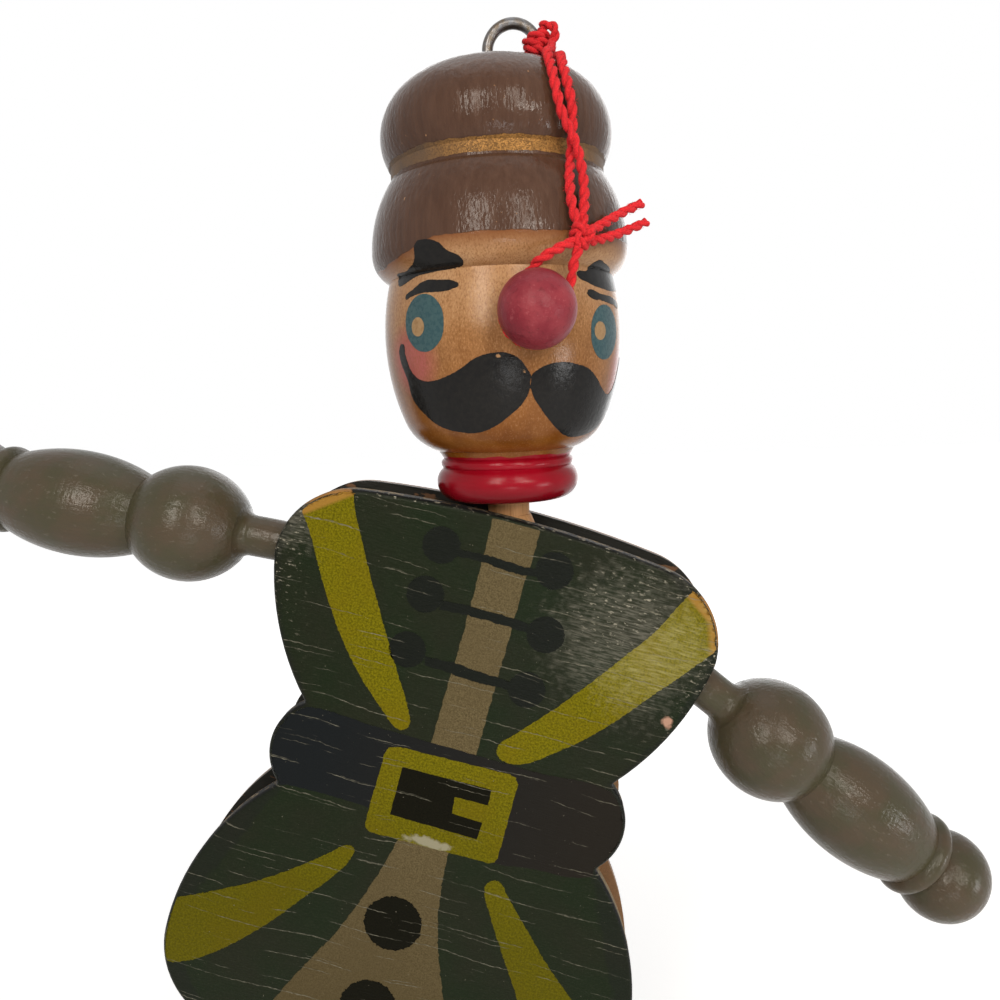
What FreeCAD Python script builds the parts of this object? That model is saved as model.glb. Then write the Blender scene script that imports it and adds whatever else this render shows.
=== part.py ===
import FreeCAD, Part
import math
import os

import Sketcher
from FreeCAD import Placement, Rotation, Vector

# Jumping jack ornament. A turned head hangs from a screw eye, a coat of two boards hangs from the
# head's neck peg, and four turned limbs swing between the boards on nails. Millimetres, +Z up along
# the head, front towards -Y, origin at the centre of the screw eye's ring. Left and right are the
# viewer's, facing the figure.

SIZES = [
    # Head, from the collar's underside upwards
    ("collar_foot_radius", 10.8),
    ("collar_rise", 6.4),
    ("collar_crest_rise", 3.6),
    ("collar_radius", 13.9),
    ("collar_top_radius", 12.6),
    ("lip_rise", 1.8),
    ("lip_radius", 12.95),
    ("lip_top_radius", 12.4),
    ("throat_rise", 1.5),
    ("throat_radius", 13.4),
    ("chin_rise", 5.8),
    ("chin_bulge_rise", 2.2),
    ("chin_bulge_radius", 17.1),
    ("jaw_radius", 19.5),
    ("face_rise", 25.9),
    ("cheek_rise", 15.5),
    ("cheek_radius", 22.5),
    ("brow_radius", 21.24),
    ("brim_under_rise", 5.0),
    ("brim_radius", 24.15),
    ("brim_top_rise", 12.4),
    ("hat_waist_radius", 20.55),
    ("band_edge_rise", 0.65),
    ("band_rise", 2.3),
    ("band_radius", 19.9),
    ("crown_foot_radius", 20.4),
    ("crown_rise", 4.6),
    ("crown_radius", 21.55),
    ("crown_shoulder_rise", 8.8),
    ("crown_shoulder_radius", 17.0),
    ("crown_edge_rise", 2.6),
    ("crown_edge_mid_rise", 1.9),
    ("crown_edge_mid_radius", 13.6),
    ("crown_flat_radius", 9.0),
    # Nose, turned with the face away from the coat's front
    ("nose_radius", 6.4),
    ("nose_sink", 5.6),
    ("nose_height", 33.4),
    ("nose_seat_distance", 22.0),
    ("nose_seat_margin", 0.75),
    ("nose_turn", 14.6),
    # Screw eye, driven into the hat beside its centre
    ("eye_outer_radius", 5.8),
    ("eye_wire_radius", 1.05),
    ("eye_sweep", 335.0),
    ("eye_shank_length", 12.0),
    ("eye_side", 3.6),
    ("eye_back", 3.0),
    ("eye_seat_gap", 0.05),
    # Yarn
    ("yarn_diameter", 1.6),
    ("yarn_wrap_gap", 0.05),
    ("yarn_bar_radius", 7.9),
    ("knot_radius", 2.0),
    # Neck peg
    ("collar_standoff", 9.6),
    ("peg_radius", 4.1),
    ("peg_running_gap", 0.05),
    ("peg_socket_depth", 16.0),
    ("peg_end_gap", 0.5),
    ("neck_hub_length", 12.4),
    ("neck_hub_end_radius", 4.3),
    # Coat boards, outline from the top edge downwards, half widths from the middle
    ("coat_roll", 16.5),
    ("board_thickness", 3.2),
    ("board_gap", 12.0),
    ("hub_side_gap", 0.3),
    ("board_edge_round", 0.9),
    ("notch_round", 0.8),
    ("shoulder_tip_round", 10.0),
    ("coat_top_rise", 6.5),
    ("neckline_drop", 2.0),
    ("neckline_half", 30.0),
    ("shoulder_drop", 15.5),
    ("shoulder_half", 43.6),
    ("chest_drop", 28.5),
    ("chest_round_drop", 14.0),
    ("chest_round_half", 39.9),
    ("waist_half", 31.0),
    ("belt_drop", 17.9),
    ("belt_round_drop", 9.8),
    ("belt_round_half", 36.2),
    ("belt_foot_half", 32.7),
    ("skirt_drop", 37.6),
    ("skirt_half", 48.9),
    ("hem_drop", 19.0),
    ("hem_half", 33.0),
    ("hem_sag", 2.93),
    # Nails that the pieces turn on, driven from the back
    ("nail_radius", 1.0),
    ("nail_head_radius", 2.0),
    ("nail_head_thickness", 0.8),
    ("nail_bite", 2.2),
    ("nail_tip", 0.8),
    ("nail_fit", 0.02),
    ("pivot_clearance", 0.05),
    ("shoulder_pivot_half", 27.0),
    ("shoulder_pivot_drop", 10.0),
    ("hip_pivot_half", 17.0),
    ("hip_pivot_drop", 100.0),
    # Spacers between the boards and the brads in them
    ("spacer_radius", 4.5),
    ("waist_spacer_half", 23.0),
    ("waist_spacer_drop", 47.0),
    ("skirt_spacer_half", 36.0),
    ("skirt_spacer_drop", 88.0),
    ("brad_radius", 0.6),
    ("brad_head_radius", 1.3),
    ("brad_head_thickness", 0.4),
    ("brad_bite", 6.0),
    # Limbs, from the tail inside the coat to the free end
    ("bead_length", 2.0),
    ("bead_radius", 2.75),
    ("bead_end_radius", 1.5),
    ("groove_length", 1.6),
    ("groove_radius", 1.7),
    ("tail_taper", 3.3),
    ("hub_end_radius", 4.2),
    ("hub_length", 11.0),
    ("stem_radius", 4.15),
    ("flare_length", 2.3),
    ("flare_mid_length", 1.5),
    ("flare_mid_radius", 4.75),
    ("flare_radius", 6.0),
    ("arm_stem_length", 18.4),
    ("arm_ball_length", 20.4),
    ("arm_ball_radius", 11.8),
    ("arm_elbow_radius", 8.0),
    ("forearm_length", 26.8),
    ("forearm_radius", 10.8),
    ("wrist_radius", 8.0),
    ("cuff_length", 4.0),
    ("cuff_radius", 8.9),
    ("cuff_end_radius", 6.8),
    ("hand_length", 13.0),
    ("hand_radius", 9.2),
    ("hand_end_radius", 3.6),
    ("leg_stem_length", 21.0),
    ("thigh_length", 29.0),
    ("thigh_radius", 11.5),
    ("knee_radius", 8.2),
    ("calf_length", 29.0),
    ("calf_radius", 10.6),
    ("ankle_radius", 7.2),
    ("foot_length", 22.0),
    ("foot_radius", 11.2),
    ("foot_end_radius", 4.2),
    ("left_arm_droop", 4.2),
    ("right_arm_droop", 24.0),
    ("leg_splay", 20.0),
    # Strings inside the coat
    ("string_radius", 0.6),
    ("string_groove_gap", 0.1),
    ("string_knot_radius", 1.6),
    ("arm_knot_drop", 27.8),
    ("leg_knot_drop", 102.9),
]

doc = FreeCAD.newDocument("JumpingJack")
sheet = doc.addObject("Spreadsheet::Sheet", "Sizes")
for row, (name, number) in enumerate(SIZES, start=1):
    sheet.set("A%d" % row, name)
    sheet.set("B%d" % row, str(number))
    sheet.setAlias("B%d" % row, name)
doc.recompute()

AXIS_X = Vector(1, 0, 0)
AXIS_Y = Vector(0, 1, 0)
AXIS_Z = Vector(0, 0, 1)
ORIGIN = (-1, 1)
LEVEL = -1
UPRIGHT = -2
CENTRE = 3


def size(item):
    """The number of a name of the sheet, or of a (formula, number) pair."""
    return item[1] if isinstance(item, tuple) else float(getattr(sheet, item))


def cell(item):
    """How an expression writes a name of the sheet, or a (formula, number) pair."""
    return item[0] if isinstance(item, tuple) else "Sizes." + item


def new_body(label):
    body = doc.addObject("PartDesign::Body", label)
    body.Label = label
    return body


def new_sketch(body, role, name):
    """A sketch on one of the body's own origin planes."""
    sketch = body.newObject("Sketcher::SketchObject", name)
    plane = [item for item in body.Origin.OriginFeatures if item.Role == role][0]
    sketch.AttachmentSupport = [(plane, "")]
    sketch.MapMode = "FlatFace"
    return sketch


def pin_distance(sketch, kind, first, second, formula, number):
    """Sets a horizontal or vertical distance between two points of a sketch."""
    rule = Sketcher.Constraint(kind, first[0], first[1], second[0], second[1], number)
    index = sketch.addConstraint(rule)
    sketch.setExpression("Constraints[%d]" % index, formula)


def pin_radius_from_axis(sketch, point, name):
    """Holds a point a named radius out from the upright axis, or on the axis."""
    if name is None:
        sketch.addConstraint(Sketcher.Constraint("PointOnObject", point[0], point[1], UPRIGHT))
    else:
        pin_distance(sketch, "DistanceX", ORIGIN, point, cell(name), size(name))


def pin_run(sketch, start, point, formula, length, rising):
    """Holds a point a length above the start, or below it."""
    if rising:
        pin_distance(sketch, "DistanceY", start, point, formula, length)
    else:
        pin_distance(sketch, "DistanceY", point, start, formula, length)


def crest_middle(start, end, level):
    """A point on the arc from start to end whose centre lies at a height."""
    rise_a = start.y - level
    rise_b = end.y - level
    across = (end.x ** 2 - start.x ** 2 + rise_b ** 2 - rise_a ** 2) / (2 * (end.x - start.x))
    return arc_middle(start, end, Vector(across, level, 0))


def arc_middle(start, end, centre):
    """The middle of the shorter arc about a centre."""
    chord = (start + end) * 0.5 - centre
    return centre + chord * (start.distanceToPoint(centre) / chord.Length)


def half_outline(sketch, steps, above=None, below=None, rising=True):
    """Draws a closed half outline beside the upright axis and closes it along the axis.

    It starts on the axis, at the origin or a size above or below it.

    Each step goes on from the last point: ("line", run, radius), ("arc", run, radius, middle run,
    middle radius), ("crest at start" or "crest at end", run, radius) for an arc that runs upright
    there, or ("cap", run, radius) for an arc whose centre lies on the axis. A run of None is level,
    a radius of None is on the axis, and a middle run of None is halfway.
    """
    direction = 1 if rising else -1
    first_height = size(above) if above else -size(below) if below else 0.0
    here = Vector(0, first_height, 0)
    begin = None
    last = None
    for step in steps:
        kind, run, radius = step[:3]
        length = size(run) if run else 0.0
        there = Vector(size(radius) if radius else 0.0, here.y + direction * length, 0)
        if kind == "line":
            edge = sketch.addGeometry(Part.LineSegment(here, there), False)
        else:
            if kind == "arc":
                middle_length = size(step[3]) if step[3] else length / 2
                middle = Vector(size(step[4]), here.y + direction * middle_length, 0)
            elif kind == "cap":
                level = (there.y ** 2 + there.x ** 2 - here.y ** 2 - here.x ** 2) / (2 * (there.y - here.y))
                middle = arc_middle(here, there, Vector(0, level, 0))
            elif kind == "crest at start":
                middle = crest_middle(here, there, here.y)
            else:
                middle = crest_middle(here, there, there.y)
            edge = sketch.addGeometry(Part.Arc(here, middle, there), False)
        starts_here = sketch.getPoint(edge, 1).distanceToPoint(here) < 1e-6
        start = (edge, 1 if starts_here else 2)
        end = (edge, 2 if starts_here else 1)
        if last is None:
            begin = start
            if above:
                pin_distance(sketch, "DistanceY", ORIGIN, start, cell(above), size(above))
                pin_radius_from_axis(sketch, start, None)
            elif below:
                pin_distance(sketch, "DistanceY", start, ORIGIN, cell(below), size(below))
                pin_radius_from_axis(sketch, start, None)
            else:
                sketch.addConstraint(Sketcher.Constraint("Coincident", *start, *ORIGIN))
        else:
            sketch.addConstraint(Sketcher.Constraint("Coincident", *start, *last))
        if run is None:
            sketch.addConstraint(Sketcher.Constraint("Horizontal", *start, *end))
        else:
            pin_run(sketch, start, end, cell(run), length, rising)
        pin_radius_from_axis(sketch, end, radius)
        if kind == "arc":
            mark = (sketch.addGeometry(Part.Point(middle), True), 1)
            sketch.addConstraint(Sketcher.Constraint("PointOnObject", *mark, edge))
            formula = cell(step[3]) if step[3] else cell(run) + " / 2"
            pin_run(sketch, start, mark, formula, middle_length, rising)
            pin_radius_from_axis(sketch, mark, step[4])
        elif kind == "cap":
            sketch.addConstraint(Sketcher.Constraint("PointOnObject", edge, CENTRE, UPRIGHT))
        elif kind == "crest at start":
            sketch.addConstraint(Sketcher.Constraint("Horizontal", edge, CENTRE, *start))
        elif kind == "crest at end":
            sketch.addConstraint(Sketcher.Constraint("Horizontal", edge, CENTRE, *end))
        here = there
        last = end
    closing = sketch.addGeometry(Part.LineSegment(here, Vector(0, first_height, 0)), False)
    sketch.addConstraint(Sketcher.Constraint("Coincident", closing, 1, *last))
    sketch.addConstraint(Sketcher.Constraint("Coincident", closing, 2, *begin))


def turn(body, steps, below=None):
    """Turns a piece about its upright axis from a half outline."""
    sketch = new_sketch(body, "XZ_Plane", "Outline")
    half_outline(sketch, steps, below=below)
    turning = body.newObject("PartDesign::Revolution", "Turning")
    turning.Profile = (sketch, [""])
    turning.ReferenceAxis = (sketch, ["V_Axis"])
    turning.Angle = 360
    doc.recompute()
    return turning


def pin_from_origin(sketch, kind, point, side, item, axis):
    """Holds a point a size from the origin on one side of it, or on an axis."""
    if side > 0:
        pin_distance(sketch, kind, ORIGIN, point, cell(item), size(item))
    elif side < 0:
        pin_distance(sketch, kind, point, ORIGIN, cell(item), size(item))
    else:
        sketch.addConstraint(Sketcher.Constraint("PointOnObject", *point, axis))


def drill(body, sketch, centres, radius, depth=None, reverse=False):
    """Bores round holes at the centres of a sketch, through everything or to a depth.

    A centre is (side, size across, side, size up): a side is 1, -1, or 0 for on the axis.
    """
    before = body.Shape.Volume
    for side, across, up_side, up in centres:
        middle = Vector(side * size(across) if side else 0, up_side * size(up) if up_side else 0, 0)
        ring = sketch.addGeometry(Part.Circle(middle, AXIS_Z, size(radius)), False)
        rule = sketch.addConstraint(Sketcher.Constraint("Radius", ring, size(radius)))
        sketch.setExpression("Constraints[%d]" % rule, cell(radius))
        pin_from_origin(sketch, "DistanceX", (ring, CENTRE), side, across, UPRIGHT)
        pin_from_origin(sketch, "DistanceY", (ring, CENTRE), up_side, up, LEVEL)
    hole = body.newObject("PartDesign::Pocket", "Hole")
    hole.Profile = (sketch, [""])
    hole.Reversed = reverse
    if depth:
        hole.setExpression("Length", cell(depth))
    else:
        hole.Type = "ThroughAll"
        hole.SideType = "Symmetric"
    body.Tip = hole
    doc.recompute()
    if hole.Shape.Volume >= before - 0.01:
        raise RuntimeError("a hole of %s cuts nothing" % body.Label)


def cord_path(points):
    """Straight runs joined by tangent arcs, each as large as its two runs allow."""
    edges = []
    radii = []
    here = points[0]
    for before, corner, after in zip(points, points[1:], points[2:]):
        back = (before - corner).normalize()
        ahead = (after - corner).normalize()
        turn_angle = math.pi - back.getAngle(ahead)
        reach = 0.45 * min(before.distanceToPoint(corner), after.distanceToPoint(corner))
        radii.append(reach / math.tan(turn_angle / 2))
        start = corner + back * reach
        end = corner + ahead * reach
        inward = (back + ahead).normalize()
        to_arc = radii[-1] / math.cos(turn_angle / 2) - radii[-1]
        edges.append(Part.LineSegment(here, start).toShape())
        edges.append(Part.Arc(start, corner + inward * to_arc, end).toShape())
        here = end
    edges.append(Part.LineSegment(here, points[-1]).toShape())
    return Part.Wire(edges), radii


def tube(label, points, radius):
    """A round tube along a cord's route."""
    points = [Vector(*point) for point in points]
    path, radii = cord_path(points)
    ring = Part.Wire([Part.Circle(points[0], points[1] - points[0], radius).toShape()])
    solid = path.makePipeShell([ring], True, True)
    expected = math.pi * radius ** 2 * path.Length
    print("%s: length %.1f, radii %s" % (label, path.Length, [round(value, 1) for value in radii]))
    if abs(solid.Volume - expected) > 0.01 * expected:
        raise RuntimeError("the tube of %s has the wrong volume" % label)
    return solid


def plain_feature(label, shape):
    feature = doc.addObject("Part::Feature", label)
    feature.Label = label
    feature.Shape = shape
    return feature


# Places of the main pieces, all from the sizes above
HEAD_RISES = [
    "collar_rise", "lip_rise", "throat_rise", "chin_rise", "face_rise", "brim_under_rise",
    "brim_top_rise", "band_edge_rise", "band_rise", "band_edge_rise", "crown_rise",
    "crown_shoulder_rise", "crown_edge_rise",
]
head_height = sum(size(name) for name in HEAD_RISES)
HEAD_HEIGHT = " + ".join(cell(name) for name in HEAD_RISES)
hat_top = -(size("eye_outer_radius") + size("eye_seat_gap"))
collar_level = hat_top - head_height
pin_level = collar_level - size("collar_standoff")
head_axis = Vector(-size("eye_side"), -size("eye_back"), 0)
neck_pivot = head_axis + Vector(0, 0, pin_level)
torso_place = Placement(neck_pivot, Rotation(AXIS_Y, size("coat_roll")))
face_turn = Rotation(AXIS_Z, size("nose_turn"))
half_gap = size("board_gap") / 2
hub_radius = ("Sizes.board_gap / 2 - Sizes.hub_side_gap", half_gap - size("hub_side_gap"))
nail_hole = ("Sizes.nail_radius + Sizes.nail_fit", size("nail_radius") + size("nail_fit"))
brad_hole = ("Sizes.brad_radius + Sizes.nail_fit", size("brad_radius") + size("nail_fit"))
pivot_bore = ("Sizes.nail_radius + Sizes.pivot_clearance",
              size("nail_radius") + size("pivot_clearance"))


def in_torso(across, depth, height, rotation=Rotation()):
    """A place given in the coat's own directions from the neck pivot."""
    return torso_place.multiply(Placement(Vector(across, depth, height), rotation))


# Head: one turned piece with collar, face, brim, band groove and crown
def make_head():
    body = new_body("head")
    turn(body, [
        ("line", None, "collar_foot_radius"),
        ("arc", "collar_rise", "collar_top_radius", "collar_crest_rise", "collar_radius"),
        ("arc", "lip_rise", "lip_top_radius", None, "lip_radius"),
        ("line", "throat_rise", "throat_radius"),
        ("arc", "chin_rise", "jaw_radius", "chin_bulge_rise", "chin_bulge_radius"),
        ("arc", "face_rise", "brow_radius", "cheek_rise", "cheek_radius"),
        ("crest at end", "brim_under_rise", "brim_radius"),
        ("crest at start", "brim_top_rise", "hat_waist_radius"),
        ("line", "band_edge_rise", "band_radius"),
        ("line", "band_rise", "band_radius"),
        ("line", "band_edge_rise", "crown_foot_radius"),
        ("crest at end", "crown_rise", "crown_radius"),
        ("crest at start", "crown_shoulder_rise", "crown_shoulder_radius"),
        ("arc", "crown_edge_rise", "crown_flat_radius", "crown_edge_mid_rise",
         "crown_edge_mid_radius"),
        ("line", None, None),
    ])
    socket = new_sketch(body, "XY_Plane", "PegSocket")
    socket_radius = ("Sizes.peg_radius + Sizes.peg_running_gap",
                     size("peg_radius") + size("peg_running_gap"))
    drill(body, socket, [(0, None, 0, None)], socket_radius, "peg_socket_depth", reverse=True)
    seat = new_sketch(body, "XZ_Plane", "NoseSeat")
    seat.AttachmentOffset = Placement(Vector(0, 0, size("nose_seat_distance")), Rotation())
    seat.setExpression("AttachmentOffset.Base.z", "Sizes.nose_seat_distance")
    seat_radius = ("sqrt(Sizes.nose_radius ^ 2 - Sizes.nose_sink ^ 2) + Sizes.nose_seat_margin",
                   math.sqrt(size("nose_radius") ** 2 - size("nose_sink") ** 2)
                   + size("nose_seat_margin"))
    drill(body, seat, [(0, None, 1, "nose_height")], seat_radius, "nose_radius", reverse=True)
    eye_hole = new_sketch(body, "XY_Plane", "EyeHole")
    eye_hole.AttachmentOffset = Placement(Vector(0, 0, head_height), face_turn.inverted())
    eye_hole.setExpression("AttachmentOffset.Base.z", HEAD_HEIGHT)
    drill(body, eye_hole, [(1, "eye_side", 1, "eye_back")], "eye_wire_radius", "eye_shank_length")
    body.Placement = Placement(head_axis + Vector(0, 0, collar_level), face_turn)
    return body


# Nose: a wooden ball with a flat, glued on its seat
def make_nose():
    nose = doc.addObject("Part::Sphere", "nose")
    nose.Label = "nose"
    nose.setExpression("Radius", "Sizes.nose_radius")
    nose.setExpression("Angle1", "-asin(Sizes.nose_sink / Sizes.nose_radius)")
    reach = size("nose_seat_distance") + size("nose_sink")
    outwards = face_turn.multVec(-AXIS_Y)
    level = collar_level + size("nose_height")
    nose.Placement = Placement(head_axis + outwards * reach + Vector(0, 0, level),
                               face_turn.multiply(Rotation(AXIS_X, 90)))
    return nose


# Screw eye: an open ring on a shank
def make_screw_eye():
    ring = doc.addObject("Part::Torus", "EyeRing")
    ring.setExpression("Radius1", "Sizes.eye_outer_radius - Sizes.eye_wire_radius")
    ring.setExpression("Radius2", "Sizes.eye_wire_radius")
    ring.setExpression("Angle3", "Sizes.eye_sweep")
    ring.Placement = Placement(Vector(), Rotation(AXIS_X, 90).multiply(Rotation(AXIS_Z, -90)))
    shank = doc.addObject("Part::Cylinder", "EyeShank")
    shank.setExpression("Radius", "Sizes.eye_wire_radius")
    shank.setExpression("Height", "Sizes.eye_shank_length + Sizes.eye_wire_radius")
    ring_bottom = size("eye_outer_radius") - size("eye_wire_radius")
    shank.Placement = Placement(Vector(0, 0, -ring_bottom), Rotation(AXIS_X, 180))
    eye = doc.addObject("Part::MultiFuse", "screw_eye")
    eye.Label = "screw_eye"
    eye.Shapes = [ring, shank]
    return eye


# Yarn: hitched to the eye, laid over the hat, knotted, and looped round the nose
YARN_LEFT = [
    (7.4, -1.2, 0.6), (7.1, -5.6, -2.8), (6.6, -10.4, -4.9), (6.2, -15.2, -6.4),
    (6.3, -19.4, -9.0), (6.9, -22.1, -12.3), (7.5, -22.9, -16.0), (8.3, -22.6, -19.4),
    (9.9, -21.9, -22.3), (11.0, -21.6, -25.4), (11.5, -21.9, -28.6), (11.7, -22.6, -31.7),
    (11.4, -23.6, -34.8), (11.1, -24.4, -37.5),
]
YARN_RIGHT = [
    (8.1, -0.4, -1.6), (8.8, -4.9, -4.2), (8.8, -9.8, -5.7), (8.5, -14.8, -7.1),
    (8.6, -18.9, -9.9), (9.2, -21.2, -13.3), (9.9, -21.5, -16.8), (10.1, -20.9, -20.1),
    (9.8, -19.9, -23.3), (9.5, -20.7, -26.4), (9.2, -23.1, -29.6), (9.3, -24.3, -33.0),
    (9.9, -24.7, -36.0), (10.8, -24.7, -38.2),
]
YARN_NOSE_LOOP = [
    (10.2, -25.1, -39.6), (7.4, -27.2, -41.0), (5.1, -28.3, -42.3), (2.6, -28.7, -43.3),
    (0.1, -27.8, -44.6), (-1.9, -26.7, -46.5), (-3.2, -26.7, -49.1), (-3.3, -26.7, -52.2),
    (-2.0, -26.4, -54.9), (0.5, -25.9, -56.9), (3.7, -25.2, -57.2), (6.5, -24.6, -55.6),
    (8.1, -24.3, -52.6), (8.5, -24.6, -49.4), (9.0, -25.3, -46.3), (9.5, -25.7, -43.2),
    (10.6, -25.2, -40.4),
]
YARN_UPPER_TAIL = [
    (12.2, -24.1, -38.2), (14.8, -21.2, -36.5), (18.1, -17.5, -34.1), (21.9, -15.2, -32.2),
]
YARN_LOWER_TAIL = [
    (12.2, -23.9, -39.8), (15.1, -20.9, -38.8), (18.7, -17.2, -37.2), (22.7, -15.0, -35.3),
]
KNOT_CENTRE = Vector(11.1, -24.7, -38.9)
WRAP_ANGLES = (-5.0, 14.0, 33.0)
BAR_START = -18.0
BAR_SWEEP = 58.0


def make_yarn():
    yarn_radius = size("yarn_diameter") / 2
    wraps = []
    for angle in WRAP_ANGLES:
        wrap = doc.addObject("Part::Torus", "Wrap")
        wrap.setExpression(
            "Radius1", "Sizes.eye_wire_radius + Sizes.yarn_wrap_gap + Sizes.yarn_diameter / 2")
        wrap.setExpression("Radius2", "Sizes.yarn_diameter / 2")
        ring_radius = size("eye_outer_radius") - size("eye_wire_radius")
        around = Placement(Vector(), Rotation(AXIS_Y, -angle))
        wrap.Placement = around.multiply(Placement(Vector(ring_radius, 0, 0), Rotation()))
        wraps.append(wrap)
    bar = doc.addObject("Part::Torus", "Bar")
    bar.setExpression("Radius1", "Sizes.yarn_bar_radius")
    bar.setExpression("Radius2", "Sizes.yarn_diameter / 2")
    bar.Angle3 = BAR_SWEEP
    lying = Rotation(AXIS_X, 90).multiply(Rotation(AXIS_Z, BAR_START))
    bar.Placement = Placement(Vector(0, -yarn_radius, 0), lying)
    hitch = doc.addObject("Part::MultiFuse", "yarn_hitch")
    hitch.Label = "yarn_hitch"
    hitch.Shapes = wraps + [bar]
    knot = doc.addObject("Part::Sphere", "yarn_knot")
    knot.Label = "yarn_knot"
    knot.setExpression("Radius", "Sizes.knot_radius")
    knot.Placement = Placement(KNOT_CENTRE, Rotation())
    tails = Part.makeCompound([
        tube("yarn upper tail", YARN_UPPER_TAIL, yarn_radius),
        tube("yarn lower tail", YARN_LOWER_TAIL, yarn_radius),
    ])
    return [
        hitch,
        knot,
        plain_feature("yarn_left_strand", tube("yarn left strand", YARN_LEFT, yarn_radius)),
        plain_feature("yarn_right_strand", tube("yarn right strand", YARN_RIGHT, yarn_radius)),
        plain_feature("yarn_nose_loop", tube("yarn nose loop", YARN_NOSE_LOOP, yarn_radius)),
        plain_feature("yarn_tails", tails),
    ]


# Neck peg: a dowel with a thicker hub at its foot, bored for the neck pin
def make_neck_peg():
    body = new_body("neck_peg")
    hub_half = size("neck_hub_length") / 2
    dowel = ("Sizes.collar_standoff + Sizes.peg_socket_depth - Sizes.peg_end_gap"
             " - Sizes.neck_hub_length / 2",
             size("collar_standoff") + size("peg_socket_depth") - size("peg_end_gap") - hub_half)
    turn(body, [
        ("line", None, "neck_hub_end_radius"),
        ("arc", "neck_hub_length", "neck_hub_end_radius", None, hub_radius),
        ("line", None, "peg_radius"),
        ("line", dowel, "peg_radius"),
        ("line", None, None),
    ], below=("Sizes.neck_hub_length / 2", hub_half))
    bore = new_sketch(body, "XZ_Plane", "PivotBore")
    drill(body, bore, [(0, None, 0, None)], pivot_bore)
    body.Placement = Placement(neck_pivot, Rotation())
    return body


# Coat boards: two boards of one outline, the front one rounded at its front edge
BOARD_OUTLINE = [
    ("cap", "neckline_drop", "neckline_half"),
    ("crest at end", "shoulder_drop", "shoulder_half"),
    ("arc", "chest_drop", "waist_half", "chest_round_drop", "chest_round_half"),
    ("arc", "belt_drop", "belt_foot_half", "belt_round_drop", "belt_round_half"),
    ("crest at end", "skirt_drop", "skirt_half"),
    ("crest at start", "hem_drop", "hem_half"),
    ("cap", "hem_sag", None),
]
PIVOTS = {
    "neck_pin": (0, None, 0, None),
    "left_shoulder_pin": (-1, "shoulder_pivot_half", -1, "shoulder_pivot_drop"),
    "right_shoulder_pin": (1, "shoulder_pivot_half", -1, "shoulder_pivot_drop"),
    "left_hip_pin": (-1, "hip_pivot_half", -1, "hip_pivot_drop"),
    "right_hip_pin": (1, "hip_pivot_half", -1, "hip_pivot_drop"),
}
SPACERS = {
    "left_waist_spacer": (-1, "waist_spacer_half", -1, "waist_spacer_drop"),
    "right_waist_spacer": (1, "waist_spacer_half", -1, "waist_spacer_drop"),
    "left_skirt_spacer": (-1, "skirt_spacer_half", -1, "skirt_spacer_drop"),
    "right_skirt_spacer": (1, "skirt_spacer_half", -1, "skirt_spacer_drop"),
}


def spot(centre):
    """Across and up of a centre written as drill takes it."""
    side, across, up_side, up = centre
    return side * size(across) if side else 0.0, up_side * size(up) if up_side else 0.0


def named_edges(feature):
    """Each edge of a feature with the name that a fillet calls it by."""
    return [("Edge%d" % count, edge) for count, edge in enumerate(feature.Shape.Edges, start=1)]


def corners_at(feature, level):
    """The board's corner edges, square to its faces, at a height."""
    return [
        name for name, edge in named_edges(feature)
        if edge.BoundBox.YLength > 1 and edge.BoundBox.ZLength < 1e-4
        and abs(edge.CenterOfMass.z - level) < 0.01
    ]


def round_edges(body, name, base, edges, radius_formula):
    rounding = body.newObject("PartDesign::Fillet", name)
    rounding.Base = (base, edges)
    rounding.setExpression("Radius", radius_formula)
    body.Tip = rounding
    doc.recompute()
    return rounding


def make_board(label, outer_side):
    """A board whose inner face lies on its own XZ plane; outer_side is -1 for the front."""
    body = new_body(label)
    sketch = new_sketch(body, "XZ_Plane", "Outline")
    half_outline(sketch, BOARD_OUTLINE, above="coat_top_rise", rising=False)
    pad = body.newObject("PartDesign::Pad", "HalfBoard")
    pad.Profile = (sketch, [""])
    pad.setExpression("Length", "Sizes.board_thickness")
    pad.Reversed = outer_side > 0
    doc.recompute()
    other_half = body.newObject("PartDesign::Mirrored", "OtherHalf")
    other_half.Originals = [pad]
    other_half.MirrorPlane = (sketch, ["V_Axis"])
    body.Tip = other_half
    doc.recompute()
    shoulder_tip = size("coat_top_rise") - size("neckline_drop") - size("shoulder_drop")
    waist = shoulder_tip - size("chest_drop")
    sawn = round_edges(body, "ShoulderTips", other_half, corners_at(other_half, shoulder_tip),
                       "Sizes.shoulder_tip_round")
    for level in (waist, waist - size("belt_drop")):
        sawn = round_edges(body, "Notch", sawn, corners_at(sawn, level), "Sizes.notch_round")
    outer = outer_side * size("board_thickness")
    rim = [
        name for name, edge in named_edges(sawn)
        if abs(edge.BoundBox.YMin - outer) < 1e-4 and abs(edge.BoundBox.YMax - outer) < 1e-4
    ]
    round_edges(body, "OuterEdge", sawn, rim, "Sizes.board_edge_round")
    return body


def make_front_board():
    body = make_board("front_board", -1)
    holes = new_sketch(body, "XZ_Plane", "NailHoles")
    depth = "Sizes.nail_bite + Sizes.nail_fit", size("nail_bite") + size("nail_fit")
    drill(body, holes, PIVOTS.values(), nail_hole, depth, reverse=True)
    body.Placement = in_torso(0, -half_gap, 0)
    return body


def make_back_board():
    body = make_board("back_board", 1)
    holes = new_sketch(body, "XZ_Plane", "NailHoles")
    drill(body, holes, PIVOTS.values(), nail_hole)
    brad_holes = new_sketch(body, "XZ_Plane", "BradHoles")
    drill(body, brad_holes, SPACERS.values(), brad_hole)
    body.Placement = in_torso(0, half_gap, 0)
    return body


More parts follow.
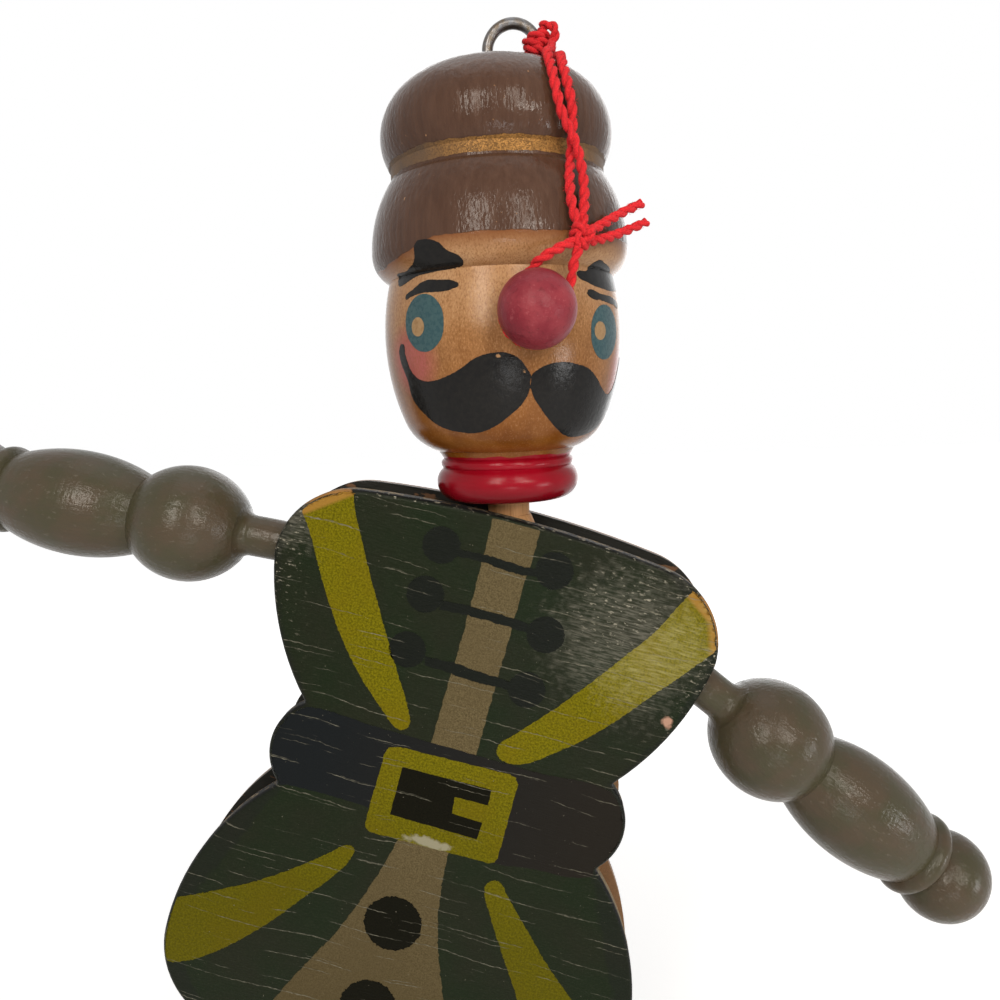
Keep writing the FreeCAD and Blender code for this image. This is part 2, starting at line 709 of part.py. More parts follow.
# Nails from the back board into the front board, with their heads outside
def make_nail(label, centre):
    body = new_body(label)
    shank = ("Sizes.board_thickness + Sizes.board_gap + Sizes.nail_bite - Sizes.nail_tip",
             size("board_thickness") + size("board_gap") + size("nail_bite") - size("nail_tip"))
    turn(body, [
        ("line", None, "nail_head_radius"),
        ("line", "nail_head_thickness", "nail_head_radius"),
        ("line", None, "nail_radius"),
        ("line", shank, "nail_radius"),
        ("line", "nail_tip", None),
    ], below="nail_head_thickness")
    across, height = spot(centre)
    back = half_gap + size("board_thickness")
    body.Placement = in_torso(across, back, height, Rotation(AXIS_X, 90))
    return body


# Spacers: dowels between the boards, held by a brad through the back board
def make_spacer(label, centre):
    body = new_body(label)
    turn(body, [
        ("line", None, "spacer_radius"),
        ("line", "board_gap", "spacer_radius"),
        ("line", None, None),
    ])
    brad_bore = new_sketch(body, "XY_Plane", "BradHole")
    depth = "Sizes.brad_bite + Sizes.nail_fit", size("brad_bite") + size("nail_fit")
    drill(body, brad_bore, [(0, None, 0, None)], brad_hole, depth, reverse=True)
    across, height = spot(centre)
    body.Placement = in_torso(across, half_gap, height, Rotation(AXIS_X, 90))
    return body


def make_brads():
    back = half_gap + size("board_thickness")
    brads = []
    for centre in SPACERS.values():
        across, height = spot(centre)
        head = doc.addObject("Part::Cylinder", "BradHead")
        head.setExpression("Radius", "Sizes.brad_head_radius")
        head.setExpression("Height", "Sizes.brad_head_thickness")
        head.Placement = in_torso(across, back, height, Rotation(AXIS_X, -90))
        shank = doc.addObject("Part::Cylinder", "BradShank")
        shank.setExpression("Radius", "Sizes.brad_radius")
        shank.setExpression("Height", "Sizes.board_thickness + Sizes.brad_bite")
        shank.Placement = in_torso(across, back, height, Rotation(AXIS_X, 90))
        brad = doc.addObject("Part::Fuse", "Brad")
        brad.Base = head
        brad.Tool = shank
        brads.append(brad)
    together = doc.addObject("Part::Compound", "spacer_brads")
    together.Label = "spacer_brads"
    together.Links = brads
    return together


# Limbs: each turned in one piece, its tail inside the coat grooved for the string
TAIL_AND_HUB = [
    ("line", None, "bead_end_radius"),
    ("arc", "bead_length", "groove_radius", None, "bead_radius"),
    ("line", "groove_length", "groove_radius"),
    ("line", "tail_taper", "hub_end_radius"),
    ("arc", "hub_length", "stem_radius", None, hub_radius),
]
ARM_OUTLINE = TAIL_AND_HUB + [
    ("line", "arm_stem_length", "stem_radius"),
    ("arc", "flare_length", "flare_radius", "flare_mid_length", "flare_mid_radius"),
    ("arc", "arm_ball_length", "arm_elbow_radius", None, "arm_ball_radius"),
    ("arc", "forearm_length", "wrist_radius", None, "forearm_radius"),
    ("arc", "cuff_length", "cuff_end_radius", None, "cuff_radius"),
    ("arc", "hand_length", "hand_end_radius", None, "hand_radius"),
    ("line", None, None),
]
LEG_OUTLINE = TAIL_AND_HUB + [
    ("line", "leg_stem_length", "stem_radius"),
    ("arc", "flare_length", "flare_radius", "flare_mid_length", "flare_mid_radius"),
    ("arc", "thigh_length", "knee_radius", None, "thigh_radius"),
    ("arc", "calf_length", "ankle_radius", None, "calf_radius"),
    ("arc", "foot_length", "foot_end_radius", None, "foot_radius"),
    ("line", None, None),
]
tail_length = size("bead_length") + size("groove_length") + size("tail_taper")
tail_reach = ("Sizes.bead_length + Sizes.groove_length + Sizes.tail_taper + Sizes.hub_length / 2",
              tail_length + size("hub_length") / 2)
# Angle of each limb's axis from the coat's upward direction, towards the viewer's right
LIMB_ANGLES = {
    "left_arm": -90 - size("left_arm_droop"),
    "right_arm": 90 + size("right_arm_droop"),
    "left_leg": size("leg_splay") - 180,
    "right_leg": 180 - size("leg_splay"),
}
LIMB_PIVOTS = {
    "left_arm": "left_shoulder_pin",
    "right_arm": "right_shoulder_pin",
    "left_leg": "left_hip_pin",
    "right_leg": "right_hip_pin",
}


def limb_place(label):
    across, height = spot(PIVOTS[LIMB_PIVOTS[label]])
    return in_torso(across, 0, height, Rotation(AXIS_Y, LIMB_ANGLES[label]))


def make_limb(label):
    body = new_body(label)
    turn(body, ARM_OUTLINE if label.endswith("arm") else LEG_OUTLINE, below=tail_reach)
    bore = new_sketch(body, "XZ_Plane", "PivotBore")
    drill(body, bore, [(0, None, 0, None)], pivot_bore)
    body.Placement = limb_place(label)
    return body


# Strings inside the coat: a ring in each tail's groove, runs to a knot, and a line between knots
def make_limb_string(label, limbs, knot_drop):
    string_radius = size("string_radius")
    knot = in_torso(0, 0, -size(knot_drop)).Base
    ring_radius = size("groove_radius") + size("string_groove_gap") + string_radius
    groove_middle = -(tail_reach[1] - size("bead_length") - size("groove_length") / 2)
    pieces = [Part.makeSphere(size("string_knot_radius"), knot)]
    for limb in limbs:
        place = limb_place(limb)
        centre = place.multVec(Vector(0, 0, groove_middle))
        along = place.Rotation.multVec(AXIS_Z)
        pieces.append(Part.makeTorus(ring_radius, string_radius, centre, along))
        to_knot = knot - centre
        sideways = (to_knot - along * to_knot.dot(along)).normalize()
        leave = centre + sideways * ring_radius
        run = knot - leave
        pieces.append(Part.makeCylinder(string_radius, run.Length, leave, run))
    return plain_feature(label, pieces[0].fuse(pieces[1:]))


def make_pull_line():
    start = in_torso(0, 0, -size("arm_knot_drop")).Base
    end = in_torso(0, 0, -size("leg_knot_drop")).Base
    line = Part.makeCylinder(size("string_radius"), (end - start).Length, start, end - start)
    return plain_feature("pull_line", line)


def build():
    pieces = [make_head(), make_nose(), make_screw_eye()] + make_yarn()
    pieces += [make_neck_peg(), make_front_board(), make_back_board()]
    pieces += [make_spacer(label, centre) for label, centre in SPACERS.items()]
    pieces.append(make_brads())
    pieces += [make_nail(label, centre) for label, centre in PIVOTS.items()]
    pieces += [make_limb(label) for label in LIMB_PIVOTS]
    pieces.append(make_limb_string("arm_string", ("left_arm", "right_arm"), "arm_knot_drop"))
    pieces.append(make_limb_string("leg_string", ("left_leg", "right_leg"), "leg_knot_drop"))
    pieces.append(make_pull_line())
    return pieces


def check(pieces):
    """Stops if anything failed, before a file is written."""
    for item in doc.Objects:
        if {"Invalid", "Error"} & set(item.State):
            raise RuntimeError("%s is in state %s" % (item.Label, item.State))
    for piece in pieces:
        if piece.Shape.isNull() or not piece.Shape.isValid():
            raise RuntimeError("%s has no valid shape" % piece.Label)


pieces = build()
doc.recompute()
check(pieces)
os.makedirs("parts", exist_ok=True)
for piece in pieces:
    piece.Shape.exportStep(os.path.join("parts", piece.Label + ".step"))
    print("%-20s solids %d volume %9.1f" % (piece.Label, len(piece.Shape.Solids), piece.Shape.Volume))
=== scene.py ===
import math
import random

import bmesh
import bpy
from mathutils import Matrix, Vector
from mathutils.bvhtree import BVHTree


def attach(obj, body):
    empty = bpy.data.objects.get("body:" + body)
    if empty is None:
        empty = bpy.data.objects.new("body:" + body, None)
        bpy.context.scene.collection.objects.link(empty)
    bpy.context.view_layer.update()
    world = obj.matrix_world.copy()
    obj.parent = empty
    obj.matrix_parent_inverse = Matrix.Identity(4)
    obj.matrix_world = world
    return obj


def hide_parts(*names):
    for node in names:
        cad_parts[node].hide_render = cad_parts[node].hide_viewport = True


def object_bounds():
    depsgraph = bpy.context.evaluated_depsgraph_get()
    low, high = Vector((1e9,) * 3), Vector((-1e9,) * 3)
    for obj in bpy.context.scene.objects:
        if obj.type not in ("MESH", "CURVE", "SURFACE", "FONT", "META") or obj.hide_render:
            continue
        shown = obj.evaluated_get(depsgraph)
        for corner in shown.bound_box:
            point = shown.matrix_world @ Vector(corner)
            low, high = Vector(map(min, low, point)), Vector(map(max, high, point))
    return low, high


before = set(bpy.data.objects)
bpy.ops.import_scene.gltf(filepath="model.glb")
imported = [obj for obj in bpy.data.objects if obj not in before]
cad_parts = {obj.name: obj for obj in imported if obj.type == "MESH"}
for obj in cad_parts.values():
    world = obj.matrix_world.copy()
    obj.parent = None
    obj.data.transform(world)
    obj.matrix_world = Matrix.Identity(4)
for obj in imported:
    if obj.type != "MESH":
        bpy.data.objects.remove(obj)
cad_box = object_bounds()

# Jumping jack ornament, in metres: +Z up along the head, the coat's painted side towards -Y, the
# origin at the centre of the screw eye's ring. Left and right are the viewer's.

# Camera: held close in front of the coat, a little above the neck, as a phone is.
LENS_TO_NECK = Vector((0.002013, 0.16, -0.008855))
NECK = Vector((-0.0036, -0.003, -0.09385))
PHOTO_WIDTH = 1000
FOCAL_PIXELS = 800
SENSOR = 36
ROLL, TIP, SWING = -2.09, 7.43, -3.4
lens_turn = (
    Matrix.Rotation(math.radians(ROLL), 3, "Y")
    @ Matrix.Rotation(math.radians(TIP), 3, "X")
    @ Matrix.Rotation(math.radians(SWING), 3, "Z")
)
to_world = lens_turn.transposed()
camera_data = bpy.data.cameras.new("camera")
camera_data.sensor_width = SENSOR
camera_data.lens = SENSOR * FOCAL_PIXELS / PHOTO_WIDTH
camera_data.clip_start = 0.005
camera_data.clip_end = 10
camera = bpy.data.objects.new("camera", camera_data)
bpy.context.scene.collection.objects.link(camera)
right = to_world @ Vector((1, 0, 0))
up = to_world @ Vector((0, 0, 1))
forward = to_world @ Vector((0, 1, 0))
looking = Matrix((right, up, -forward)).transposed().to_4x4()
camera.matrix_world = Matrix.Translation(NECK - to_world @ LENS_TO_NECK) @ looking
bpy.context.scene.camera = camera


# Studio: a white table top and surround, with warm window light from three places ahead, and
# weaker lamps below, at both sides, above and behind.
class Finish:
    """A material of one finish, with short calls for the nodes that make it."""

    def __init__(self, name):
        self.material = bpy.data.materials.new(name)
        self.material.use_nodes = True
        self.tree = self.material.node_tree
        self.shader = self.tree.nodes["Principled BSDF"]
        self.places = self.tree.nodes.new("ShaderNodeTexCoord").outputs["Object"]

    def put(self, socket, value):
        """Links a socket's value in, or writes a plain one."""
        if isinstance(value, bpy.types.NodeSocket):
            self.tree.links.new(value, socket)
        else:
            socket.default_value = value

    def add(self, kind, inputs, **settings):
        node = self.tree.nodes.new("ShaderNode" + kind)
        for key, value in settings.items():
            setattr(node, key, value)
        for key, value in inputs.items():
            self.put(node.inputs[key], value)
        return node

    def maths(self, operation, first, second=0.0):
        return self.add("Math", {0: first, 1: second}, operation=operation).outputs[0]

    def times(self, first, second):
        return self.maths("MULTIPLY", first, second)

    def plus(self, first, second):
        return self.maths("ADD", first, second)

    def either(self, first, second):
        """The larger of two shares."""
        return self.maths("MAXIMUM", first, second)

    def sway(self, pattern, reach):
        """Takes a pattern to either side of nought, as far as its usual extremes reach."""
        return self.ramp(pattern, 0.3, 0.7, -reach, reach)

    def noise(self, lump, detail=3.0, stretch=(1, 1, 1), places=None, roughness=0.5):
        """A cloudy pattern from 0 to 1 whose lumps are about so many metres across."""
        scale = Vector(stretch) / lump
        scaled = self.add("VectorMath", {0: places or self.places, 1: scale}, operation="MULTIPLY")
        inputs = {"Vector": scaled.outputs[0], "Scale": 1.0, "Detail": detail,
                  "Roughness": roughness}
        return self.add("TexNoise", inputs).outputs[0]

    def ramp(self, value, low, high, bottom=0.0, top=1.0):
        """Takes a value from low..high to bottom..top, held level outside."""
        inputs = {"Value": value, "From Min": low, "From Max": high, "To Min": bottom,
                  "To Max": top}
        return self.add("MapRange", inputs).outputs[0]

    def mix(self, share, first, second):
        node = self.add("Mix", {}, data_type="RGBA")
        self.put(node.inputs["Factor"], share)
        for socket, colour in ((node.inputs[6], first), (node.inputs[7], second)):
            plain = isinstance(colour, tuple)
            self.put(socket, (*colour, 1) if plain else colour)
        return node.outputs[2]

    def wash(self, colour, pattern, low, high, tint, share=1.0):
        """Lays a tint over a colour, by up to a share, as a pattern goes from low to high."""
        return self.mix(self.ramp(pattern, low, high, 0.0, share), colour, tint)

    def blend(self, share, first, second):
        """As mix does, for plain values in place of colours."""
        inputs = {0: share, 2: first, 3: second}
        return self.add("Mix", inputs, data_type="FLOAT").outputs[0]

    def split(self, places):
        return self.add("SeparateXYZ", {0: places}).outputs

    def turned(self, centre, angles):
        """Places measured from a centre in directions that are turned by Euler angles."""
        inputs = {"Vector": self.places, "Location": centre, "Rotation": angles}
        return self.add("Mapping", inputs, vector_type="TEXTURE").outputs[0]

    def relief(self, height, distance, strength=1.0):
        """Bumps whose height from 0 to 1 stands for a distance in metres."""
        inputs = {"Height": height, "Distance": distance, "Strength": strength}
        bump = self.add("Bump", inputs)
        self.put(self.shader.inputs["Normal"], bump.outputs[0])

    def set(self, **inputs):
        """Sets sockets of the shader, whose names are written with _ for a space."""
        for key, value in inputs.items():
            socket = self.shader.inputs[key.replace("_", " ")]
            if isinstance(value, tuple) and len(value) == 3:
                value = (*value, 1)
            self.put(socket, value)

    def cover(self, colour, rough, gloss):
        """Sets the three sockets that nearly every finish needs."""
        self.set(Base_Color=colour, Roughness=rough, Specular_IOR_Level=gloss)


FLOOR_GAP = 0.012
FLOOR_LEVEL = cad_box[0][2] - FLOOR_GAP
FLOOR_HALF = 3.0
floor_mesh = bmesh.new()
bmesh.ops.create_grid(floor_mesh, x_segments=1, y_segments=1, size=FLOOR_HALF,
                      matrix=Matrix.Translation((0, 0, FLOOR_LEVEL)))
floor_data = bpy.data.meshes.new("floor")
floor_mesh.to_mesh(floor_data)
floor_mesh.free()
floor = bpy.data.objects.new("floor", floor_data)
bpy.context.scene.collection.objects.link(floor)
table = Finish("white table")
path = table.add("LightPath", {}).outputs
seen = table.either(path["Is Camera Ray"], path["Is Glossy Ray"])
seen = table.either(seen, path["Is Transmission Ray"])
grain = table.noise(0.02, detail=2.0)
# Further off the table glows to plain white, so that no horizon shows
away = table.add("VectorMath", {0: table.places}, operation="LENGTH").outputs["Value"]
glow_level = table.ramp(away, 0.3, 0.9, 0.42, 0.9)
glow = table.add("Emission", {"Strength": table.times(seen, glow_level)})
table.cover((0.86, 0.86, 0.86), table.ramp(grain, 0.0, 1.0, 0.85, 0.95), 0.1)
both = table.add("AddShader", {0: table.shader.outputs[0], 1: glow.outputs[0]})
table.put(table.tree.nodes["Material Output"].inputs["Surface"], both.outputs[0])
floor_data.materials.append(table.material)

AMBIENT = 0.15
world = bpy.data.worlds.new("surround")
bpy.context.scene.world = world
world.use_nodes = True
world_tree = world.node_tree
sky = world_tree.nodes["Background"]
sky.inputs["Color"].default_value = (1, 1, 1, 1)
sky_path = world_tree.nodes.new("ShaderNodeLightPath")
sky_level = world_tree.nodes.new("ShaderNodeMapRange")
sky_level.inputs["To Min"].default_value = AMBIENT
sky_seen = sky_path.outputs["Is Camera Ray"]
for ray in ("Is Glossy Ray", "Is Transmission Ray"):
    either = world_tree.nodes.new("ShaderNodeMath")
    either.operation = "MAXIMUM"
    world_tree.links.new(sky_seen, either.inputs[0])
    world_tree.links.new(sky_path.outputs[ray], either.inputs[1])
    sky_seen = either.outputs[0]
world_tree.links.new(sky_seen, sky_level.inputs["Value"])
world_tree.links.new(sky_level.outputs[0], sky.inputs["Strength"])
bpy.context.scene.view_settings.view_transform = "Standard"

CHEST = Vector((0, 0, -0.08))


def soft_lamp(name, place, width, height, watts, tint=(1, 1, 1)):
    """A rectangular lamp that points at the figure's chest."""
    lamp_data = bpy.data.lights.new(name, "AREA")
    lamp_data.shape = "RECTANGLE"
    lamp_data.size = width
    lamp_data.size_y = height
    lamp_data.energy = watts
    lamp_data.color = tint
    lamp = bpy.data.objects.new(name, lamp_data)
    bpy.context.scene.collection.objects.link(lamp)
    lamp.location = place
    aim = CHEST - Vector(place)
    lamp.rotation_euler = aim.to_track_quat("-Z", "Y").to_euler()


WARM = (1.0, 0.93, 0.83)
soft_lamp("window_lamp", (-0.155, -0.54, 0.19), 0.12, 0.36, 2.2, WARM)
soft_lamp("second_window_lamp", (0.2, -0.48, 0.18), 0.09, 0.34, 1.3, WARM)
soft_lamp("third_window_lamp", (0.335, -0.5, 0.08), 0.06, 0.09, 0.72, WARM)
soft_lamp("low_lamp", (0.07, -0.49, -0.225), 0.14, 0.06, 0.22)
soft_lamp("right_lamp", (0.53, -0.29, -0.17), 0.13, 0.13, 0.75)
soft_lamp("left_lamp", (-0.62, -0.32, 0.06), 0.5, 0.5, 0.15)
soft_lamp("top_lamp", (0.0, 0.05, 0.7), 0.6, 0.6, 1.0)
soft_lamp("back_lamp", (0.1, 0.7, 0.1), 0.7, 0.7, 1.8)


# Yarn: one length of red wool of two plies, hitched three times round the screw eye, crossed over
# itself on the hat, knotted above the nose and looped round it, with two short cut tails. Laid on
# by hand, so the strands wander, and worn, so loose fibres stand off them.
YARN_THICK = 0.0016
PLY_RADIUS = 0.0005
PLY_OFFSET = 0.0004
PLY_TURN = 0.0046
LEFT_STRAND = [
    (7.4, -1.2, 0.6), (7.1, -5.6, -2.8), (6.6, -10.4, -4.9), (6.2, -15.2, -6.4),
    (6.3, -19.4, -9.0), (6.9, -22.1, -12.3), (7.5, -22.9, -16.0), (8.3, -22.6, -19.4),
    (9.9, -21.9, -22.3), (11.0, -21.6, -25.4), (11.5, -21.9, -28.6), (11.7, -22.6, -31.7),
    (11.4, -23.6, -34.8), (11.1, -24.4, -37.5),
]
RIGHT_STRAND = [
    (8.1, -0.4, -1.6), (8.8, -4.9, -4.2), (8.8, -9.8, -5.7), (8.5, -14.8, -7.1),
    (8.6, -18.9, -9.9), (9.2, -21.2, -13.3), (9.9, -21.5, -16.8), (10.1, -20.9, -20.1),
    (9.8, -19.9, -23.3), (9.5, -20.7, -26.4), (9.2, -23.1, -29.6), (9.3, -24.3, -33.0),
    (9.9, -24.7, -36.0), (10.8, -24.7, -38.2),
]
NOSE_LOOP = [
    (10.2, -25.1, -39.6), (7.4, -27.2, -41.0), (5.1, -28.3, -42.3), (3.0, -28.1, -43.6),
    (1.2, -26.3, -45.2), (-0.8, -25.5, -46.9), (-2.2, -25.9, -48.9), (-2.7, -26.1, -51.2),
    (-2.3, -26.1, -53.3), (-0.9, -26.0, -55.2), (1.3, -25.5, -56.2), (3.6, -24.9, -56.0),
    (5.6, -24.3, -54.7), (7.1, -23.9, -52.6), (8.1, -24.2, -49.6), (9.0, -25.3, -46.3),
    (9.5, -25.7, -43.2), (10.6, -25.2, -40.4),
]
UPPER_TAIL = [(12.2, -24.1, -38.2), (14.8, -21.2, -36.5), (18.1, -17.5, -34.1),
              (21.9, -15.2, -32.2)]
LOWER_TAIL = [(12.2, -23.9, -39.8), (15.1, -20.9, -38.8), (18.7, -17.2, -37.2),
              (22.7, -15.0, -35.3)]
KNOT = (11.1, -24.7, -38.9)
NOSE_MIDDLE = Vector((0.003357, -0.029709, -0.05085))
PINCH = 0.36
PINCH_NEAR = 0.00715
PINCH_FAR = 0.0078
FIRST_SIDE = (0.3, 0.5, 0.8)
UNEVENNESS = 0.05
FIBRE_LENGTHS = (0.0003, 0.001)
FIBRE_ROOT = 0.00018
FIBRE_THICK = 0.065
FIBRE_TAPER = 0.035


def yarn_line(name, route, cyclic=False):
    """Points of the smooth line through a strand's route, which is given in millimetres."""
    curve = bpy.data.curves.new(name, "CURVE")
    curve.dimensions = "3D"
    curve.resolution_u = 10
    spline = curve.splines.new("NURBS")
    spline.points.add(len(route) - 1)
    for point, place in zip(spline.points, route):
        point.co = (*(Vector(place) / 1000), 1)
    spline.order_u = 3
    spline.use_endpoint_u = not cyclic
    spline.use_cyclic_u = cyclic
    holder = bpy.data.objects.new(name, curve)
    line = bpy.data.meshes.new_from_object(holder)
    places = [vertex.co.copy() for vertex in line.vertices]
    bpy.data.objects.remove(holder)
    return places


def side_frames(line):
    """A square pair of sideways directions at each point, turned as little as they can be."""
    frames = []
    side = Vector(FIRST_SIDE)
    for index, place in enumerate(line):
        before = line[max(index - 1, 0)]
        after = line[min(index + 1, len(line) - 1)]
        along = (after - before).normalized()
        side = (side - along * side.dot(along)).normalized()
        frames.append((along, side, along.cross(side)))
    return frames


def squeezed(place):
    """How thin the yarn is drawn at a place: thinner where it is pinched behind the nose."""
    apart = (place - NOSE_MIDDLE).length
    share = min(1.0, max(0.0, (PINCH_FAR - apart) / (PINCH_FAR - PINCH_NEAR)))
    return 1.0 - PINCH * share


def lay_yarn(name, line, seed, fibres_per_metre=5200):
    """A mesh of two twisted plies along a line, with loose fibres."""
    chance = random.Random(seed)
    curve = bpy.data.curves.new(name, "CURVE")
    curve.dimensions = "3D"
    curve.bevel_depth = PLY_RADIUS
    curve.bevel_resolution = 3
    curve.use_fill_caps = True
    frames = side_frames(line)
    runs = [0.0]
    for here, there in zip(line, line[1:]):
        runs.append(runs[-1] + (there - here).length)
    for ply in (0, 1):
        spline = curve.splines.new("POLY")
        spline.points.add(len(line) - 1)
        for point, place, (_, side, other), run in zip(spline.points, line, frames, runs):
            angle = 2 * math.pi * run / PLY_TURN + ply * math.pi
            offset = side * math.cos(angle) + other * math.sin(angle)
            thin = squeezed(place)
            point.co = (*(place + offset * PLY_OFFSET * thin), 1)
            point.radius = thin * (1 + chance.uniform(-UNEVENNESS, UNEVENNESS))
    for _ in range(int(fibres_per_metre * runs[-1])):
        index = chance.randrange(1, len(line) - 1)
        along, side, other = frames[index]
        angle = chance.uniform(0, 2 * math.pi)
        outward = side * math.cos(angle) + other * math.sin(angle)
        lean = along * chance.uniform(-1.0, 1.0) + outward * chance.uniform(0.2, 0.7)
        bend = outward.cross(along) * chance.uniform(-0.5, 0.5) + along * chance.uniform(-0.4, 0.4)
        reach = chance.uniform(*FIBRE_LENGTHS)
        start = line[index] + outward * (YARN_THICK / 2 - FIBRE_ROOT) * squeezed(line[index])
        spline = curve.splines.new("POLY")
        spline.points.add(3)
        for step, point in enumerate(spline.points):
            share = step / 3
            place = start + lean * reach * share + bend * reach * share * share
            point.co = (*place, 1)
            point.radius = FIBRE_THICK - FIBRE_TAPER * share
    holder = bpy.data.objects.new(name, curve)
    mesh = bpy.data.meshes.new_from_object(holder)
    bpy.data.objects.remove(holder)
    mesh.name = name
    mesh.shade_smooth()
    return mesh


def new_piece(name, mesh, finish, body):
    """Puts a mesh into the scene as a piece that rides on a body."""
    piece = bpy.data.objects.new(name, mesh)
    bpy.context.scene.collection.objects.link(piece)
    mesh.materials.clear()
    mesh.materials.append(finish.material)
    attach(piece, body)
    return piece


wool = Finish("red wool")
strands = wool.noise(0.00022, detail=4.0, roughness=0.7)
patches = wool.noise(0.006, detail=2.0)
dye = wool.wash((0.34, 0.006, 0.011), strands, 0.3, 0.7, (0.82, 0.034, 0.04))
dye = wool.wash(dye, patches, 0.4, 0.7, (0.46, 0.012, 0.018), 0.45)
wool.set(Base_Color=dye, Roughness=0.85, Specular_IOR_Level=0.06, Sheen_Weight=0.06,
         Sheen_Roughness=0.6)
wool.relief(strands, 0.00012, 0.9)

left_line = yarn_line("left strand", LEFT_STRAND + [KNOT] + UPPER_TAIL)
right_line = yarn_line("right strand", RIGHT_STRAND + [KNOT] + NOSE_LOOP + [KNOT] + LOWER_TAIL)
left_yarn = new_piece("left_yarn", lay_yarn("left_yarn", left_line, 11), wool, "head")
right_yarn = new_piece("right_yarn", lay_yarn("right_yarn", right_line, 12), wool, "head")
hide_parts("yarn_left_strand")
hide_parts("yarn_right_strand", "yarn_nose_loop", "yarn_tails")

# The hitch: the yarn's middle goes up outside the ring, over it, and three times round the wire
RING_MIDDLE = 4.75
WRAP_REACH = 1.93
hitch_route = [(7.4, -1.3, 0.5), (7.9, -1.6, 1.3), (8.2, -1.6, 2.1), (7.9, -1.5, 3.0),
               (7.1, -1.2, 3.6), (6.2, -0.9, 3.7)]
WRAP_TURNS = 3
STEPS_PER_TURN = 14
WRAP_FROM = 33
WRAP_SPREAD = 46
WRAP_START = -0.4
for step in range(WRAP_TURNS * STEPS_PER_TURN + 1):
    share = step / (WRAP_TURNS * STEPS_PER_TURN)
    ring_angle = math.radians(WRAP_FROM - WRAP_SPREAD * share)
    wrap_angle = 2 * math.pi * step / STEPS_PER_TURN + WRAP_START
    outward = RING_MIDDLE + WRAP_REACH * math.cos(wrap_angle)
    hitch_route.append((outward * math.cos(ring_angle), WRAP_REACH * math.sin(wrap_angle),
                        outward * math.sin(ring_angle)))
hitch_route += [(7.3, -0.2, -1.9), (8.1, -0.4, -1.6)]
hitch_mesh = lay_yarn("yarn_wraps", yarn_line("wraps", hitch_route), 13)
yarn_wraps = new_piece("yarn_wraps", hitch_mesh, wool, "head")
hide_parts("yarn_hitch")

# The knot: an overhand knot drawn tight
KNOT_SIZE = 0.55
KNOT_POINTS = 24
KNOT_FORWARD = 0.35
knot_route = []
for step in range(KNOT_POINTS):
    turn = 2 * math.pi * step / KNOT_POINTS
    knot_route.append((
        KNOT[0] + KNOT_SIZE * (math.sin(turn) + 2 * math.sin(2 * turn)),
        KNOT[1] - KNOT_FORWARD - KNOT_SIZE * 1.5 * math.sin(3 * turn),
        KNOT[2] + KNOT_SIZE * (math.cos(turn) - 2 * math.cos(2 * turn)),
    ))
knot_mesh = lay_yarn("yarn_tie", yarn_line("tie", knot_route, cyclic=True), 14, 6500)
yarn_tie = new_piece("yarn_tie", knot_mesh, wool, "head")
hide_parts("yarn_knot")


# Head: one turned piece of light wood. The hat is painted brown with a gold band in its groove, the
# collar glossy red, and the face between them is only lacquered, with rouge on the cheeks.
HEAD_AXIS = Vector((-0.0036, -0.003, 0))
COLLAR_LEVEL = -0.08425
FACE_TURN = math.radians(14.6)
RED_TOP = COLLAR_LEVEL + 0.0089
HAT_PAINT_FOOT = COLLAR_LEVEL + 0.0464
BAND_FOOT = COLLAR_LEVEL + 0.05985
BAND_TOP = COLLAR_LEVEL + 0.0623
CHEEK_REACH = 0.0222
CHEEKS = [(-59, 0.0265, 0.0058), (66.5, 0.0235, 0.006)]


def head_place(degrees, rise, reach=CHEEK_REACH):
    """A place near the face from an angle off its front, a rise over the collar and a radius."""
    angle = FACE_TURN + math.radians(degrees)
    outward = Vector((math.sin(angle), -math.cos(angle), 0))
    return HEAD_AXIS + outward * reach + Vector((0, 0, COLLAR_LEVEL + rise))


def finish_node(node_name, finish):
    """Gives a CAD node its finish."""
    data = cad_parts[node_name].data
    data.materials.clear()
    data.materials.append(finish.material)


head = Finish("lacquered and painted head")
height = head.split(head.places)[2]
wander = head.noise(0.004)
fine_wander = head.noise(0.0009)
edge_wobble = head.plus(head.sway(wander, 0.00018), head.sway(fine_wander, 0.00006))
level = head.plus(height, edge_wobble)
# Lacquered wood: short dark pores that stand upright, tan at the chin, with a paler band across the
# forehead that is a painted highlight
pores = head.noise(0.00028, detail=4.0, stretch=(1, 1, 0.55), roughness=0.65)
bands = head.noise(0.0035, stretch=(1, 1, 0.18))
blotches = head.noise(0.007)
wood_top = head.wash((0.33, 0.165, 0.066), bands, 0.35, 0.65, (0.245, 0.112, 0.04))
wood_foot = head.wash((0.175, 0.054, 0.004), bands, 0.35, 0.65, (0.125, 0.035, 0.002))
rise_share = head.ramp(height, COLLAR_LEVEL + 0.012, COLLAR_LEVEL + 0.034)
wood = head.mix(rise_share, wood_foot, wood_top)
# Painted highlight: a paler tone laid across the forehead
forehead_highlight = head.ramp(height, COLLAR_LEVEL + 0.031, COLLAR_LEVEL + 0.04, 0.0, 0.6)
wood = head.mix(forehead_highlight, wood, (0.46, 0.275, 0.145))
wood = head.wash(wood, blotches, 0.42, 0.62, (0.26, 0.11, 0.032), 0.35)
wood = head.wash(wood, pores, 0.5, 0.66, (0.13, 0.05, 0.012), 0.6)
pale_flecks = head.times(head.ramp(pores, 0.32, 0.46, 0.4, 0.0),
                         head.ramp(rise_share, 0.0, 1.0, 0.35, 1.0))
wood = head.mix(pale_flecks, wood, (0.54, 0.33, 0.16))
for degrees, rise, radius in CHEEKS:
    apart = head.add("VectorMath", {0: head.places, 1: head_place(degrees, rise)},
                     operation="DISTANCE").outputs["Value"]
    rouge = head.ramp(apart, radius * 1.25, radius * 0.6, 0.0, 0.75)
    rouge = head.times(rouge, head.ramp(pores, 0.35, 0.6, 1.0, 0.6))
    wood = head.mix(rouge, wood, (0.34, 0.065, 0.085))
